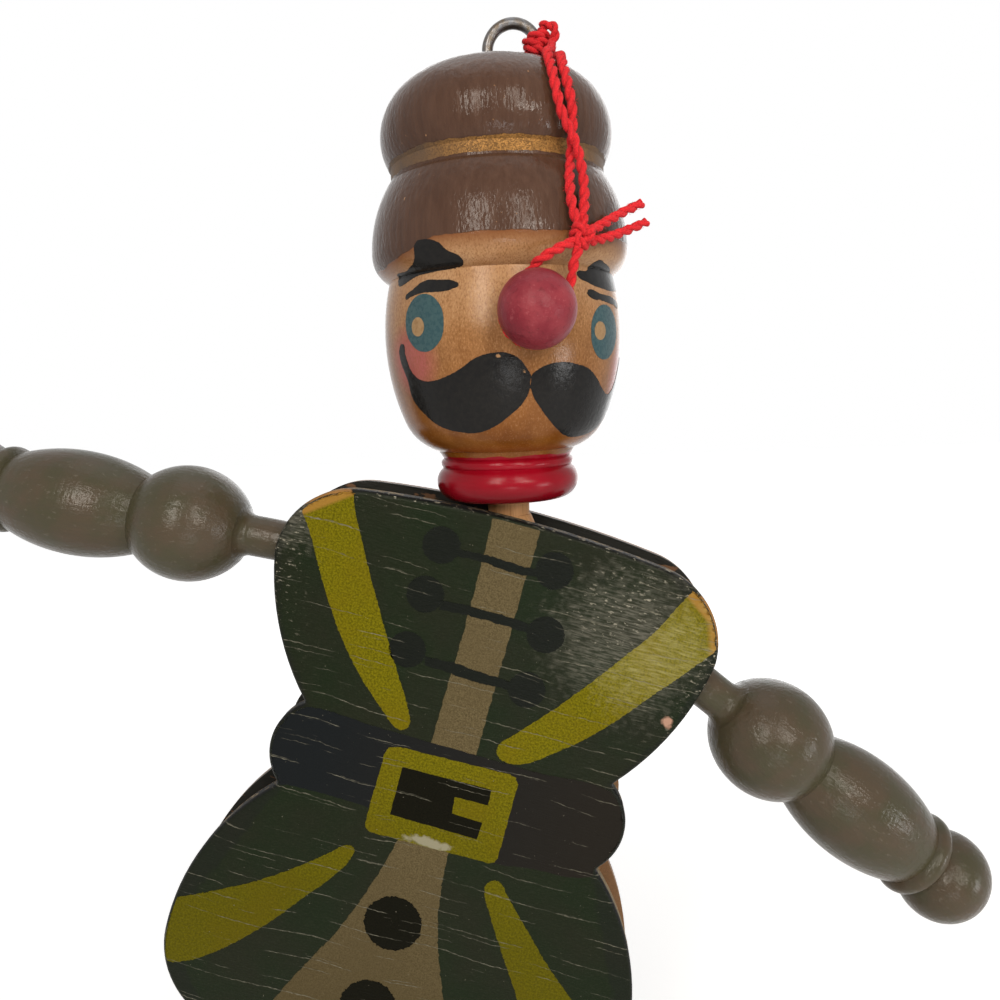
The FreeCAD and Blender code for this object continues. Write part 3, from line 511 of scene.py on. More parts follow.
# Hat paint: brushed on thin, so it has upright streaks, with small chips down to the wood
streaks = head.noise(0.0011, stretch=(1, 1, 0.09), roughness=0.6)
dabs = head.noise(0.0007, detail=2.0, stretch=(1, 1, 0.5))
brown = head.wash((0.058, 0.028, 0.017), streaks, 0.35, 0.7, (0.076, 0.039, 0.025))
chips = head.noise(0.0007, detail=2.0)
chip_areas = head.noise(0.012, detail=2.0)
chip_share = head.times(head.ramp(chips, 0.72, 0.75), head.ramp(chip_areas, 0.5, 0.56))
brown = head.mix(chip_share, brown, (0.3, 0.16, 0.08))
glitter = head.add("TexVoronoi", {"Vector": head.places, "Scale": 5200.0}).outputs["Color"]
glint = head.split(glitter)[0]
gold = head.wash((0.125, 0.06, 0.015), glint, 0.1, 0.9, (0.31, 0.155, 0.044))
red = head.wash((0.185, 0.001, 0.006), blotches, 0.35, 0.65, (0.24, 0.002, 0.01))
# Painted shade: the red is darkened towards the collar's underside
red = head.wash(red, height, COLLAR_LEVEL + 0.004, COLLAR_LEVEL + 0.0005, (0.095, 0.001, 0.004),
                0.8)
red = head.wash(red, pores, 0.62, 0.75, (0.16, 0.004, 0.01), 0.4)
# The brown reaches further down under the brim on the left, and fades into an orange-brown stain
face_places = head.turned(HEAD_AXIS, (0, 0, FACE_TURN))
face_side, face_depth = head.split(face_places)[:2]
hat_level = head.plus(level, head.ramp(face_side, -0.015, -0.0225, 0.0, 0.0032))
in_hat = head.ramp(hat_level, HAT_PAINT_FOOT - 0.00008, HAT_PAINT_FOOT + 0.00008)
rim_stain = head.ramp(hat_level, HAT_PAINT_FOOT - 0.003, HAT_PAINT_FOOT - 0.0002, 0.0, 0.95)
in_collar = head.maths("LESS_THAN", level, RED_TOP)
in_band = head.times(head.maths("GREATER_THAN", level, BAND_FOOT),
                     head.maths("LESS_THAN", level, BAND_TOP))
# The gold is rubbed away round the sides
band_wear = head.ramp(face_depth, -0.0195, -0.0125, 0.0, 0.92)
band_wear = head.times(band_wear, head.ramp(blotches, 0.3, 0.6, 0.6, 1.0))
gold = head.mix(band_wear, gold, (0.092, 0.066, 0.05))
colour = head.mix(rim_stain, wood, (0.165, 0.06, 0.02))
colour = head.mix(in_hat, colour, brown)
colour = head.mix(in_band, colour, gold)
colour = head.mix(in_collar, colour, red)
roughness = head.ramp(pores, 0.3, 0.7, 0.08, 0.2)
hat_roughness = head.ramp(streaks, 0.3, 0.7, 0.1, 0.24)
roughness = head.blend(in_hat, roughness, hat_roughness)
roughness = head.blend(in_collar, roughness, 0.16)
roughness = head.blend(in_band, roughness, 0.52)
metal = head.times(in_band, head.ramp(glint, 0.3, 0.8, 0.05, 0.4))
metal = head.times(metal, head.maths("SUBTRACT", 1.0, band_wear))
skin_relief = head.times(pores, 0.1)
hat_relief = head.plus(head.times(streaks, 0.34), head.times(dabs, 0.4))
relief = head.blend(in_hat, skin_relief, hat_relief)
relief = head.blend(in_band, relief, glint)
head.set(Base_Color=colour, Roughness=roughness, Metallic=metal, Specular_IOR_Level=0.14)
head.relief(relief, 0.00028, 0.9)
finish_node("head", head)


# Face paint: brows, lids, eyes and moustache, painted by hand over the lacquer. Each is a thin coat
# laid on the turned wood, given by its outline: degrees off the face's front to the viewer's right,
# and millimetres above the collar's underside.
FACE_REACH = 21.0
FACE_RAY_START = 0.04
MOUSTACHE_REACH = 0.0225
FACE_GRID = 0.6
OUTLINE_MERGE = 0.01
SQUARE_MERGE = 0.02
CUT_MERGE = 0.0001
PAINT_SINK = 0.00012
BROWS = [
    [(-70.3, 40.87), (-57.9, 42.06), (-50.6, 43.24), (-46.9, 45.86), (-44.7, 46.06), (-36.8, 45.34),
     (-33.5, 43.98), (-28.0, 42.63), (-27.8, 41.93), (-32.5, 41.38), (-40.8, 41.19),
     (-51.6, 40.98)],
    [(25.6, 40.34), (32.5, 40.87), (34.5, 42.0), (37.1, 42.53), (43.0, 42.29), (56.3, 41.43),
     (70.0, 39.6), (59.0, 38.13), (41.1, 38.01), (31.0, 38.76), (25.3, 39.82)],
]
LIDS = [
    [(-61.0, 37.3), (-55.4, 38.76), (-48.5, 39.82), (-40.4, 39.65), (-33.2, 39.22), (-30.7, 38.48),
     (-33.6, 37.91), (-41.2, 37.67), (-49.2, 37.82), (-57.2, 37.47)],
    [(30.1, 37.03), (40.3, 36.94), (54.4, 36.52), (61.0, 35.49), (53.2, 35.41), (39.7, 35.88),
     (31.7, 36.21)],
]
MOUSTACHE = [
    [(-63.8, 29.62), (-62.3, 27.49), (-59.4, 24.64), (-53.9, 23.15), (-46.4, 22.87), (-38.2, 23.59),
     (-30.8, 24.8), (-24.0, 26.33), (-16.8, 27.03), (-10.0, 26.93), (-4.9, 25.88), (-1.8, 24.37),
     (0.0, 23.2), (-0.4, 20.71), (-3.1, 18.72), (-8.9, 16.76), (-17.2, 14.79), (-27.7, 13.68),
     (-37.8, 13.91), (-49.2, 15.0), (-57.4, 17.17), (-63.2, 19.72), (-64.1, 23.3), (-67.4, 26.9),
     (-67.2, 28.66)],
    [(0.4, 23.02), (3.1, 23.99), (8.7, 24.93), (15.5, 25.21), (23.1, 24.84), (30.9, 23.98),
     (37.6, 22.41), (43.8, 20.64), (51.4, 19.53), (57.0, 19.9), (62.0, 21.6), (65.5, 24.2),
     (69.0, 26.3), (71.0, 24.8), (69.5, 20.5), (65.0, 16.6), (59.0, 14.2), (51.9, 12.96),
     (38.0, 12.14), (25.5, 12.4), (17.8, 13.59), (11.0, 15.44), (4.8, 17.94), (1.1, 20.02)],
]
EYES = [
    [(-37.8, 32.41), (-41.1, 29.09), (-49.0, 27.86), (-57.1, 29.51), (-60.5, 33.15), (-56.7, 36.51),
     (-48.2, 37.6), (-40.5, 35.9)],
    [(54.8, 30.64), (50.3, 27.11), (41.5, 25.63), (33.9, 26.98), (31.0, 30.26), (34.0, 33.6),
     (41.7, 35.16), (50.6, 33.99)],
]
EYE_DOTS = [
    [(-48.3, 32.06), (-52.3, 30.55), (-56.0, 32.31), (-51.9, 33.8)],
    [(42.0, 30.64), (37.4, 28.98), (33.3, 30.52), (37.6, 32.17)],
]


def surface_of(node_name):
    """The surface of a CAD node, for laying paint on."""
    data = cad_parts[node_name].data
    corners = [vertex.co for vertex in data.vertices]
    return BVHTree.FromPolygons(corners, [face.vertices[:] for face in data.polygons])


def flat_shape(name, outlines, grid, ragged, seed, corners="AUTO"):
    """A flat mesh in millimetres, cut into small squares, inside closed outlines in millimetres."""
    curve = bpy.data.curves.new(name, "CURVE")
    curve.dimensions = "2D"
    curve.fill_mode = "BOTH"
    curve.resolution_u = 8
    for outline in outlines:
        spline = curve.splines.new("BEZIER")
        spline.bezier_points.add(len(outline) - 1)
        for point, (across, rise) in zip(spline.bezier_points, outline):
            point.co = (across, rise, 0)
            point.handle_left_type = corners
            point.handle_right_type = corners
        spline.use_cyclic_u = True
    holder = bpy.data.objects.new(name, curve)
    shape = bmesh.new()
    shape.from_mesh(bpy.data.meshes.new_from_object(holder))
    bpy.data.objects.remove(holder)
    bmesh.ops.remove_doubles(shape, verts=shape.verts, dist=OUTLINE_MERGE)
    for axis in (0, 1):
        reaches = [vertex.co[axis] for vertex in shape.verts]
        direction = Vector((axis == 0, axis == 1, 0))
        for line in range(math.ceil(min(reaches) / grid), math.floor(max(reaches) / grid) + 1):
            everything = shape.verts[:] + shape.edges[:] + shape.faces[:]
            bmesh.ops.bisect_plane(shape, geom=everything, dist=CUT_MERGE,
                                   plane_co=direction * line * grid, plane_no=direction)
    bmesh.ops.remove_doubles(shape, verts=shape.verts, dist=SQUARE_MERGE)
    chance = random.Random(seed)
    for vertex in shape.verts:
        if vertex.is_boundary:
            shift = (chance.uniform(-ragged, ragged), chance.uniform(-ragged, ragged), 0)
            vertex.co += Vector(shift)
    for face in shape.faces:
        face.normal_update()
        if face.normal.z < 0:
            face.normal_flip()
    for edge in shape.edges:
        edge.smooth = not edge.is_boundary
    for face in shape.faces:
        face.smooth = True
    return shape


def paint_piece(name, shape, lay_on, lift, finish, body):
    """Lays a flat shape on a surface as a coat of paint that stands up by lift."""
    for vertex in shape.verts:
        place, outward = lay_on(vertex.co.x, vertex.co.y)
        vertex.co = place + outward * lift
    mesh = bpy.data.meshes.new(name)
    shape.to_mesh(mesh)
    shape.free()
    piece = new_piece(name, mesh, finish, body)
    coat = piece.modifiers.new("coat", "SOLIDIFY")
    coat.thickness = lift + PAINT_SINK
    coat.offset = -1
    return piece


head_surface = surface_of("head")


def on_face(across, rise):
    """The place on the head and its outward direction for a point of a flat outline."""
    angle = FACE_TURN + across / FACE_REACH
    outward = Vector((math.sin(angle), -math.cos(angle), 0))
    start = HEAD_AXIS + outward * FACE_RAY_START + Vector((0, 0, COLLAR_LEVEL + rise / 1000))
    place, normal, _, _ = head_surface.ray_cast(start, -outward)
    return place, normal


def face_paint(name, outlines, lift, finish, seed, ragged=0.04):
    """Both sides of one feature of the face."""
    on_arc = [[(math.radians(degrees) * FACE_REACH, rise) for degrees, rise in outline]
              for outline in outlines]
    shape = flat_shape(name, on_arc, FACE_GRID, ragged, seed)
    return paint_piece(name, shape, on_face, lift, finish, "head")


black = Finish("black face paint")
brush = black.noise(0.0009, detail=4.0, roughness=0.6)
film = black.noise(0.005, detail=2.0)
paint = black.wash((0.0065, 0.006, 0.006), brush, 0.35, 0.7, (0.011, 0.01, 0.009))
for degrees, rise, size in ((-31.6, 15.97, 0.0007), (-30.4, 19.07, 0.0005), (-40.6, 21.93, 0.0004),
                            (-27.7, 23.92, 0.0004), (-14.0, 26.5, 0.0005), (-3.0, 24.0, 0.0006)):
    chip_middle = head_place(degrees, rise / 1000, MOUSTACHE_REACH)
    apart = black.add("VectorMath", {0: black.places, 1: chip_middle}, operation="DISTANCE")
    chipped = black.plus(apart.outputs["Value"], black.sway(brush, 0.0003))
    paint = black.wash(paint, chipped, size, size * 0.75, (0.34, 0.19, 0.09))
black.cover(paint, black.ramp(brush, 0.3, 0.7, 0.14, 0.26), 0.13)
black.relief(black.plus(black.times(brush, 0.6), black.times(film, 0.4)), 0.00016, 0.7)
face_paint("brows", BROWS, 0.00006, black, 21)
face_paint("lids", LIDS, 0.00008, black, 22)
face_paint("moustache", MOUSTACHE, 0.00006, black, 23)

teal = Finish("blue-green eye paint")
dabs = teal.noise(0.0007)
paint = teal.wash((0.028, 0.066, 0.078), dabs, 0.35, 0.7, (0.044, 0.086, 0.092))
teal.cover(paint, teal.ramp(dabs, 0.3, 0.7, 0.22, 0.34), 0.12)
teal.relief(dabs, 0.0001, 0.5)
face_paint("eyes", EYES, 0.00005, teal, 24, ragged=0.02)
cream = Finish("cream eye dots")
dabs = cream.noise(0.0006)
paint = cream.wash((0.25, 0.15, 0.07), dabs, 0.35, 0.7, (0.32, 0.205, 0.105))
cream.cover(paint, cream.ramp(dabs, 0.3, 0.7, 0.25, 0.4), 0.12)
cream.relief(dabs, 0.0001, 0.5)
face_paint("eye_dots", EYE_DOTS, 0.00009, cream, 25, ragged=0.02)


# Nose: a wooden ball, dipped in red and glued into a hollow of the face. Handling has rubbed it
# dull and dented it.
nose = Finish("rubbed red nose")
clouds = nose.noise(0.004)
dents = nose.noise(0.0011, roughness=0.6)
pores = nose.noise(0.0004)
paint = nose.wash((0.17, 0.016, 0.026), clouds, 0.35, 0.65, (0.235, 0.034, 0.044))
paint = nose.wash(paint, dents, 0.56, 0.7, (0.11, 0.012, 0.018), 0.6)
paint = nose.wash(paint, dents, 0.38, 0.28, (0.33, 0.08, 0.09), 0.45)
paint = nose.wash(paint, pores, 0.64, 0.74, (0.38, 0.12, 0.12), 0.2)
nose.cover(paint, nose.ramp(clouds, 0.3, 0.7, 0.32, 0.46), 0.15)
nose.relief(nose.plus(nose.times(dents, 0.7), nose.times(pores, 0.3)), 0.00022, 0.7)
finish_node("nose", nose)


# Screw eye: bright steel wire, bent to a ring and turned into the hat. It has dulled and is lightly
# tarnished.
steel = Finish("tarnished steel wire")
tarnish = steel.noise(0.0018, detail=4.0, roughness=0.6)
scratches = steel.noise(0.0005, stretch=(1, 4, 1))
tone = steel.wash((0.15, 0.152, 0.16), tarnish, 0.38, 0.66, (0.085, 0.062, 0.04))
steel.set(Base_Color=tone, Metallic=0.9,
          Roughness=steel.ramp(tarnish, 0.3, 0.7, 0.26, 0.48))
steel.relief(scratches, 0.00005, 0.5)
finish_node("screw_eye", steel)


# Bare wood: the neck peg and the dowels that hold the boards apart, cut from dowel and left as it
# was, with the grain along each.
class WoodFinish(Finish):
    """Bare or painted wood whose grain runs along the local Z of turned places."""

    def __init__(self, name, centre, angles):
        super().__init__(name)
        self.places = self.turned(centre, angles)
        self.grain = self.noise(0.0011, detail=4.0, stretch=(1, 1, 0.06), roughness=0.6)
        self.fibres = self.noise(0.0003, stretch=(1, 1, 0.05))
        self.stains = self.noise(0.006)

    def bare(self, pale, dark, dirt):
        """The colour of the wood itself: pale and dark grain, with dirt in patches."""
        wood = self.wash(pale, self.grain, 0.35, 0.68, dark)
        wood = self.wash(wood, self.fibres, 0.58, 0.72, dirt, 0.5)
        return self.wash(wood, self.stains, 0.5, 0.72, dirt, 0.5)


COAT_ROLL = math.radians(16.5)
UPRIGHT_GRAIN = (0, 0, 0)
ALONG_Y_GRAIN = (math.radians(90), 0, 0)
peg_wood = WoodFinish("bare peg wood", NECK, UPRIGHT_GRAIN)
peg_wood.cover(peg_wood.bare((0.56, 0.31, 0.14), (0.4, 0.2, 0.08), (0.22, 0.1, 0.04)), 0.55, 0.12)
peg_wood.relief(peg_wood.grain, 0.00012, 0.7)
finish_node("neck_peg", peg_wood)
dowel_wood = WoodFinish("bare dowel wood", NECK, ALONG_Y_GRAIN)
dowel_wood.cover(dowel_wood.bare((0.42, 0.27, 0.13), (0.31, 0.18, 0.08), (0.18, 0.1, 0.05)), 0.6,
                 0.12)
dowel_wood.relief(dowel_wood.grain, 0.00012, 0.7)
for side in ("left", "right"):
    finish_node(side + "_waist_spacer", dowel_wood)
    finish_node(side + "_skirt_spacer", dowel_wood)


# Coat boards: two thin boards sawn to one outline. The front one is painted dark green with a black
# edge, its paint crazed across the grain; the back one is raw wood with brown slopped on its rim.
COAT_PLACE = Matrix.Translation(NECK) @ Matrix.Rotation(COAT_ROLL, 4, "Y")
FRONT_FACE = -0.0092
BOARD_THICK = 0.0032
OUTLINE_FOOT = -0.12
OUTLINE_TOP = 0.01
OUTLINE_SCALE = 0.05
HALF_WIDTHS = [(-0.1165, 0.0), (-0.1145, 0.03), (-0.1115, 0.037), (-0.0985, 0.0465),
               (-0.093, 0.0487), (-0.0574, 0.0327), (-0.0493, 0.036), (-0.0395, 0.031),
               (-0.025, 0.0399), (-0.011, 0.0433), (-0.003, 0.0405), (0.0045, 0.03), (0.0065, 0.0)]


class CoatFinish(Finish):
    """A finish of the coat in the coat's own places: X across it, Y through it, Z up it."""

    def __init__(self, name):
        super().__init__(name)
        self.places = self.turned(NECK, (0, COAT_ROLL, 0))
        self.across, self.through, self.rise = self.split(self.places)[:3]
        self.grain = self.noise(0.0004, detail=4.0, stretch=(0.12, 1, 1), roughness=0.6)
        self.speckle = self.noise(0.00032, roughness=0.7)
        self.clouds = self.noise(0.012)
        self.cracks = self.either(self.crazing(0.005, 0.00007, 0.0, 0.48),
                                  self.crazing(0.0033, 0.00005, 0.3, 0.55))

    def crazing(self, spacing, half_thick, shift, rarity):
        """Fine wavy cracks across the board, one in each strip of its height, in patches."""
        slow = self.sway(self.noise(0.024, detail=1.0), 0.0008)
        fast = self.sway(self.noise(0.0016), 0.00013)
        level = self.plus(self.plus(self.rise, slow), fast)
        strips = self.plus(self.maths("DIVIDE", level, spacing), 40 + shift)
        number = self.maths("FLOOR", strips)
        luck = self.add("TexWhiteNoise", {"W": number}, noise_dimensions="1D").outputs["Value"]
        aim = self.ramp(luck, 0.0, 1.0, 0.2, 0.8)
        apart = self.maths("ABSOLUTE", self.maths("SUBTRACT", self.maths("FRACT", strips), aim))
        line = self.ramp(apart, half_thick * 1.6 / spacing, half_thick * 0.7 / spacing)
        patches = self.noise(0.005, detail=4.0, stretch=(0.4, 1, 1.6))
        return self.times(line, self.ramp(patches, rarity, rarity + 0.08))

    def inset(self):
        """How far in from the coat's outline a place is, across the coat."""
        ramp = self.add("ValToRGB", {0: self.ramp(self.rise, OUTLINE_FOOT, OUTLINE_TOP)})
        stops = ramp.color_ramp.elements
        while len(stops) < len(HALF_WIDTHS):
            stops.new(1.0)
        for stop, (rise, half_width) in zip(stops, HALF_WIDTHS):
            stop.position = (rise - OUTLINE_FOOT) / (OUTLINE_TOP - OUTLINE_FOOT)
            stop.color = (half_width / OUTLINE_SCALE,) * 3 + (1,)
        half = self.times(self.split(ramp.outputs[0])[0], OUTLINE_SCALE)
        return self.maths("SUBTRACT", half, self.maths("ABSOLUTE", self.across))

    def near(self, across, rise, size, soft=0.6, flatness=1.0):
        """1 within a ragged spot, round or flattened, about a place given in millimetres."""
        middle = Vector((across, FRONT_FACE * 1000, rise)) / 1000
        away = self.add("VectorMath", {0: self.places, 1: middle}, operation="SUBTRACT").outputs[0]
        away = self.add("VectorMath", {0: away, 1: (1, 1, flatness)},
                        operation="MULTIPLY").outputs[0]
        apart = self.add("VectorMath", {0: away}, operation="LENGTH").outputs["Value"]
        ragged = self.sway(self.noise(0.0012), 0.25 * size)
        return self.ramp(self.plus(apart, ragged), size, size * soft)

    def coat(self, colour, rough, gloss, dull=0.0):
        """Finishes off a paint: dust specks, cracks down to the wood and the crazed relief."""
        dust = self.ramp(self.noise(0.0005, detail=2.0), 0.76, 0.79, 0.0, 0.5)
        colour = self.mix(dust, colour, (0.3, 0.28, 0.22))
        worn = self.ramp(self.noise(0.0009), 0.35, 0.65, 0.15, 0.75)
        colour = self.mix(self.times(self.cracks, worn), colour, (0.2, 0.19, 0.145))
        rough = self.ramp(self.grain, 0.3, 0.7, rough - 0.08, rough + 0.1)
        rough = self.plus(rough, dull)
        lay = self.plus(self.times(self.grain, 0.55), self.times(self.speckle, 0.25))
        lay = self.maths("SUBTRACT", lay, self.times(self.cracks, 0.6))
        self.cover(colour, rough, gloss)
        self.relief(lay, 0.00022, 0.75)


green = CoatFinish("dark green coat paint")
inset = green.inset()
paint = green.wash((0.0066, 0.012, 0.0038), green.clouds, 0.35, 0.65, (0.0095, 0.0115, 0.005))
paint = green.wash(paint, green.speckle, 0.5, 0.75, (0.03, 0.034, 0.02), 0.4)
rim_line = green.plus(inset, green.sway(green.noise(0.003), 0.0006))
paint = green.wash(paint, rim_line, 0.0014, 0.0004, (0.007, 0.007, 0.007), 0.4)
rounding = green.ramp(green.through, FRONT_FACE + 0.00008, FRONT_FACE + 0.0004)
paint = green.mix(rounding, paint, (0.007, 0.007, 0.007))
# Bright specks where the paint has cracked off along the shoulders, and a patch of pale specks on
# the right shoulder that is painted glare
specks = green.ramp(green.noise(0.0007, stretch=(0.5, 1, 1), roughness=0.65), 0.6, 0.68)
edges_and_glare_patch = green.times(green.ramp(inset, 0.007, 0.0005), green.ramp(green.rise, -0.032, -0.012))
# Painted glare: pale specks in a patch high on the right shoulder
edges_and_glare_patch = green.either(edges_and_glare_patch, green.near(24, -6, 0.012, 0.3))
paint = green.mix(green.times(specks, edges_and_glare_patch), paint, (0.3, 0.28, 0.22))
# Painted glare: pale grey streaks along the grain on both shoulders
shoulder_glare = green.either(green.near(26, -11, 0.0175, 0.35), green.near(-42, -3, 0.0085, 0.35))
shoulder_glare = green.times(shoulder_glare, green.ramp(green.grain, 0.42, 0.66, 0.1, 0.75))
paint = green.mix(shoulder_glare, paint, (0.13, 0.125, 0.1))
# Bright scuffs on the shoulders' corners, and wood showing where the stripes run off the edge
for across, rise, size in ((-37.0, 3.0, 0.0046), (-34.0, 5.0, 0.0032), (40.4, -2.0, 0.0055)):
    worn = green.times(green.near(across, rise, size, 0.8), green.ramp(rounding, 0.0, 0.3))
    paint = green.mix(green.times(worn, 0.85), paint, (0.3, 0.15, 0.045))
paint = green.mix(green.near(37.81, -23.99, 0.0013), paint, (0.36, 0.21, 0.15))
edge_wear = green.ramp(green.noise(0.0016, detail=4.0, stretch=(1, 1, 0.5)), 0.5, 0.6)
low_right = green.times(green.ramp(green.rise, -0.052, -0.06), green.ramp(green.across, 0.0, 0.01))
side_wall = green.ramp(green.through, FRONT_FACE + 0.001, FRONT_FACE + 0.0013)
bare_edge = green.times(side_wall, green.either(edge_wear, low_right))
edge_wood = green.wash((0.3, 0.21, 0.11), green.speckle, 0.4, 0.65, (0.15, 0.13, 0.075))
paint = green.mix(green.times(bare_edge, 0.8), paint, edge_wood)
inside = green.ramp(green.through, FRONT_FACE + BOARD_THICK - 0.0001,
                    FRONT_FACE + BOARD_THICK - 0.00005)
inner_wood = green.wash((0.41, 0.27, 0.125), green.grain, 0.35, 0.7, (0.3, 0.18, 0.075))
paint = green.mix(inside, paint, inner_wood)
wall = green.ramp(green.through, FRONT_FACE + 0.0002, FRONT_FACE + 0.0008, 0.0, 0.35)
green.coat(paint, 0.26, 0.065, dull=wall)
finish_node("front_board", green)

BACK_BOARD_FACE = 0.006
raw = CoatFinish("raw back board")
inset = raw.inset()
tone = raw.wash((0.58, 0.4, 0.21), raw.grain, 0.35, 0.7, (0.44, 0.28, 0.13))
tone = raw.wash(tone, raw.clouds, 0.45, 0.65, (0.32, 0.2, 0.1), 0.4)
smear = raw.sway(raw.noise(0.0032, detail=4.0), 0.0022)
slop = raw.ramp(raw.plus(inset, smear), 0.0006, -0.0002)
slop_brown = raw.wash((0.2, 0.095, 0.045), raw.speckle, 0.35, 0.7, (0.1, 0.05, 0.026))
tone = raw.mix(raw.times(slop, 0.85), tone, slop_brown)
# The top and the left side have caught the front's dark paint
dark_side = raw.either(raw.ramp(raw.rise, -0.026, -0.018), raw.ramp(raw.across, 0.004, -0.004))
dark_rim = raw.ramp(raw.plus(inset, smear), 0.0048, 0.004)
dark_rim = raw.either(dark_rim, raw.ramp(raw.rise, -0.008, -0.005))
facing = raw.ramp(raw.through, BACK_BOARD_FACE + 0.0012, BACK_BOARD_FACE + 0.0004)
dark = raw.times(raw.times(dark_side, dark_rim), facing)
tone = raw.mix(dark, tone, (0.012, 0.012, 0.01))
splits = raw.ramp(raw.noise(0.0016, detail=4.0, stretch=(0.35, 1, 1)), 0.62, 0.66, 0.0, 0.7)
tone = raw.mix(splits, tone, (0.16, 0.08, 0.04))
raw.cover(tone, raw.ramp(slop, 0.0, 1.0, 0.62, 0.45), 0.12)
raw.relief(raw.plus(raw.times(raw.grain, 0.6), raw.times(slop, 0.3)), 0.00022, 0.8)
finish_node("back_board", raw)


# Coat print: yellow stripes, fawn front band, black frogs, buttons and belt, and a yellow buckle,
# all sprayed through stencils, so they are speckled and a little ragged. Outlines are in
# millimetres across the coat from its middle and up it from the neck's nail.
PRINT_GRID = 0.9
STRIPES = [
    [(-37.88, -5.18), (-39.93, -1.33), (-37.87, 2.78), (-35.56, 4.78), (-32.24, 4.87),
     (-30.0, 0.33), (-27.75, -4.25), (-24.76, -10.28), (-21.54, -16.33), (-15.9, -26.55),
     (-10.55, -36.2), (-10.12, -37.99), (-10.83, -39.27), (-12.22, -39.45), (-15.98, -36.48),
     (-23.96, -28.4), (-30.6, -18.83)],
    [(34.62, 0.59), (36.15, 2.6), (38.68, 0.51), (40.77, -2.7), (42.61, -7.63), (41.02, -10.1),
     (37.39, -15.01), (33.61, -19.58), (29.58, -24.89), (24.59, -30.53), (17.99, -36.47),
     (13.23, -39.79), (9.93, -40.32), (8.07, -39.36), (7.74, -37.32), (9.91, -34.77),
     (16.33, -27.23), (22.62, -18.99), (27.26, -12.34), (30.33, -8.03)],
    [(-49.58, -88.75), (-45.36, -86.06), (-39.35, -82.84), (-31.17, -78.05), (-23.71, -72.38),
     (-19.3, -68.56), (-16.11, -66.02), (-14.79, -66.3), (-14.79, -68.1), (-17.41, -73.2),
     (-22.14, -79.44), (-28.47, -87.63), (-34.09, -93.58), (-38.48, -97.54), (-43.49, -100.77),
     (-47.18, -101.5), (-49.0, -96.11)],
    [(12.8, -68.31), (12.71, -66.31), (14.66, -65.05), (17.08, -67.23), (19.98, -70.42),
     (23.14, -73.77), (28.09, -79.12), (35.52, -85.83), (39.39, -89.29), (43.76, -93.79),
     (43.0, -99.5), (36.9, -101.58), (30.17, -98.17), (25.06, -89.15), (20.72, -82.12),
     (16.72, -75.53), (14.48, -71.65)],
]
FRONT_BAND = [
    [(-4.48, 6.2), (4.84, 5.9), (4.5, -4.09), (4.33, -16.31), (4.12, -29.46), (4.07, -43.5),
     (-5.06, -43.5), (-4.86, -29.71), (-4.38, -18.75), (-4.35, -5.51)],
    [(-6.41, -61.0), (3.78, -61.0), (4.07, -69.17), (4.79, -74.63), (6.28, -81.52), (8.62, -88.47),
     (10.56, -93.74), (13.19, -100.03), (16.43, -106.2), (18.6, -111.0), (15.0, -115.6),
     (0.0, -116.6), (-15.0, -116.3), (-27.5, -114.8), (-25.8, -109.0), (-23.72, -104.59),
     (-21.09, -98.75), (-18.85, -94.25), (-14.37, -85.6), (-11.0, -77.18), (-8.81, -70.36)],
]
BELT = [
    [(-36.6, -49.0), (-35.6, -44.6), (-33.0, -41.6), (-31.2, -40.2), (-14.0, -40.3), (0.0, -40.5),
     (16.0, -40.7), (31.2, -40.6), (33.2, -42.0), (35.8, -45.0), (36.6, -49.3), (35.9, -53.4),
     (33.4, -57.6), (31.0, -59.4), (20.0, -60.6), (12.0, -61.5), (0.0, -58.6), (-14.0, -57.0),
     (-30.0, -56.8), (-33.2, -57.0), (-35.9, -53.4)],
]
FROGS = [
    [(-9.07, -1.59), (-3.06, -1.36), (2.9, -1.73), (6.2, -1.5), (6.4, -3.0), (2.56, -3.42),
     (-3.04, -2.95), (-9.2, -2.95)],
    [(-10.19, -12.17), (-4.35, -11.78), (1.58, -11.77), (7.45, -12.37), (7.67, -13.95),
     (1.7, -13.77), (-4.29, -13.6), (-9.95, -13.94)],
    [(-10.35, -23.73), (-4.39, -23.51), (0.72, -23.94), (6.8, -24.3), (6.9, -25.91), (0.88, -26.19),
     (-4.42, -25.81), (-10.16, -25.35)],
]
TOGGLES = [(-12.57, -1.74), (-13.26, -11.8), (-14.06, -23.32), (9.33, -0.97), (10.89, -13.46),
           (10.17, -25.01)]
TOGGLE_RADIUS = 3.6
BUTTONS = [(-3.45, -80.03), (-4.1, -99.5)]
BUTTON_RADIUS = 5.9
BUCKLE = [
    [(-11.2, -42.95), (11.4, -42.55), (12.7, -42.9), (13.4, -44.0), (13.5, -60.2), (13.1, -61.3),
     (12.0, -61.8), (-12.3, -62.0), (-13.4, -61.6), (-13.9, -60.4), (-13.45, -45.2),
     (-12.9, -43.7)],
]
BUCKLE_GAP = [
    [(-9.38, -46.86), (8.76, -46.6), (8.85, -49.95), (2.08, -50.05), (2.4, -53.57), (8.64, -53.83),
     (8.45, -57.51), (-9.45, -57.2)],
]

board_surface = surface_of("front_board")
INTO_COAT = Vector((0, 1, 0))
COAT_RAY_START = -0.03
COAT_HEART = (-95, -20)
EDGE_STEP = 0.1
FLAT_ENOUGH = -0.97


def on_coat(across, rise):
    """The place on the front board and its outward direction for a point of a flat outline."""
    spot = Vector((across, rise))
    heart = Vector((0, min(max(rise, COAT_HEART[0]), COAT_HEART[1])))
    inwards = (heart - spot).normalized() * EDGE_STEP
    while True:
        start = COAT_PLACE @ Vector((spot.x / 1000, COAT_RAY_START, spot.y / 1000))
        place, normal, _, _ = board_surface.ray_cast(start, INTO_COAT)
        if place is not None and normal.y < FLAT_ENOUGH:
            return place, normal
        spot += inwards


def coat_print(name, outlines, lift, finish, seed, ragged=0.1, corners="AUTO"):
    """One colour of the print."""
    shape = flat_shape(name, outlines, PRINT_GRID, ragged, seed, corners)
    return paint_piece(name, shape, on_coat, lift, finish, "torso")


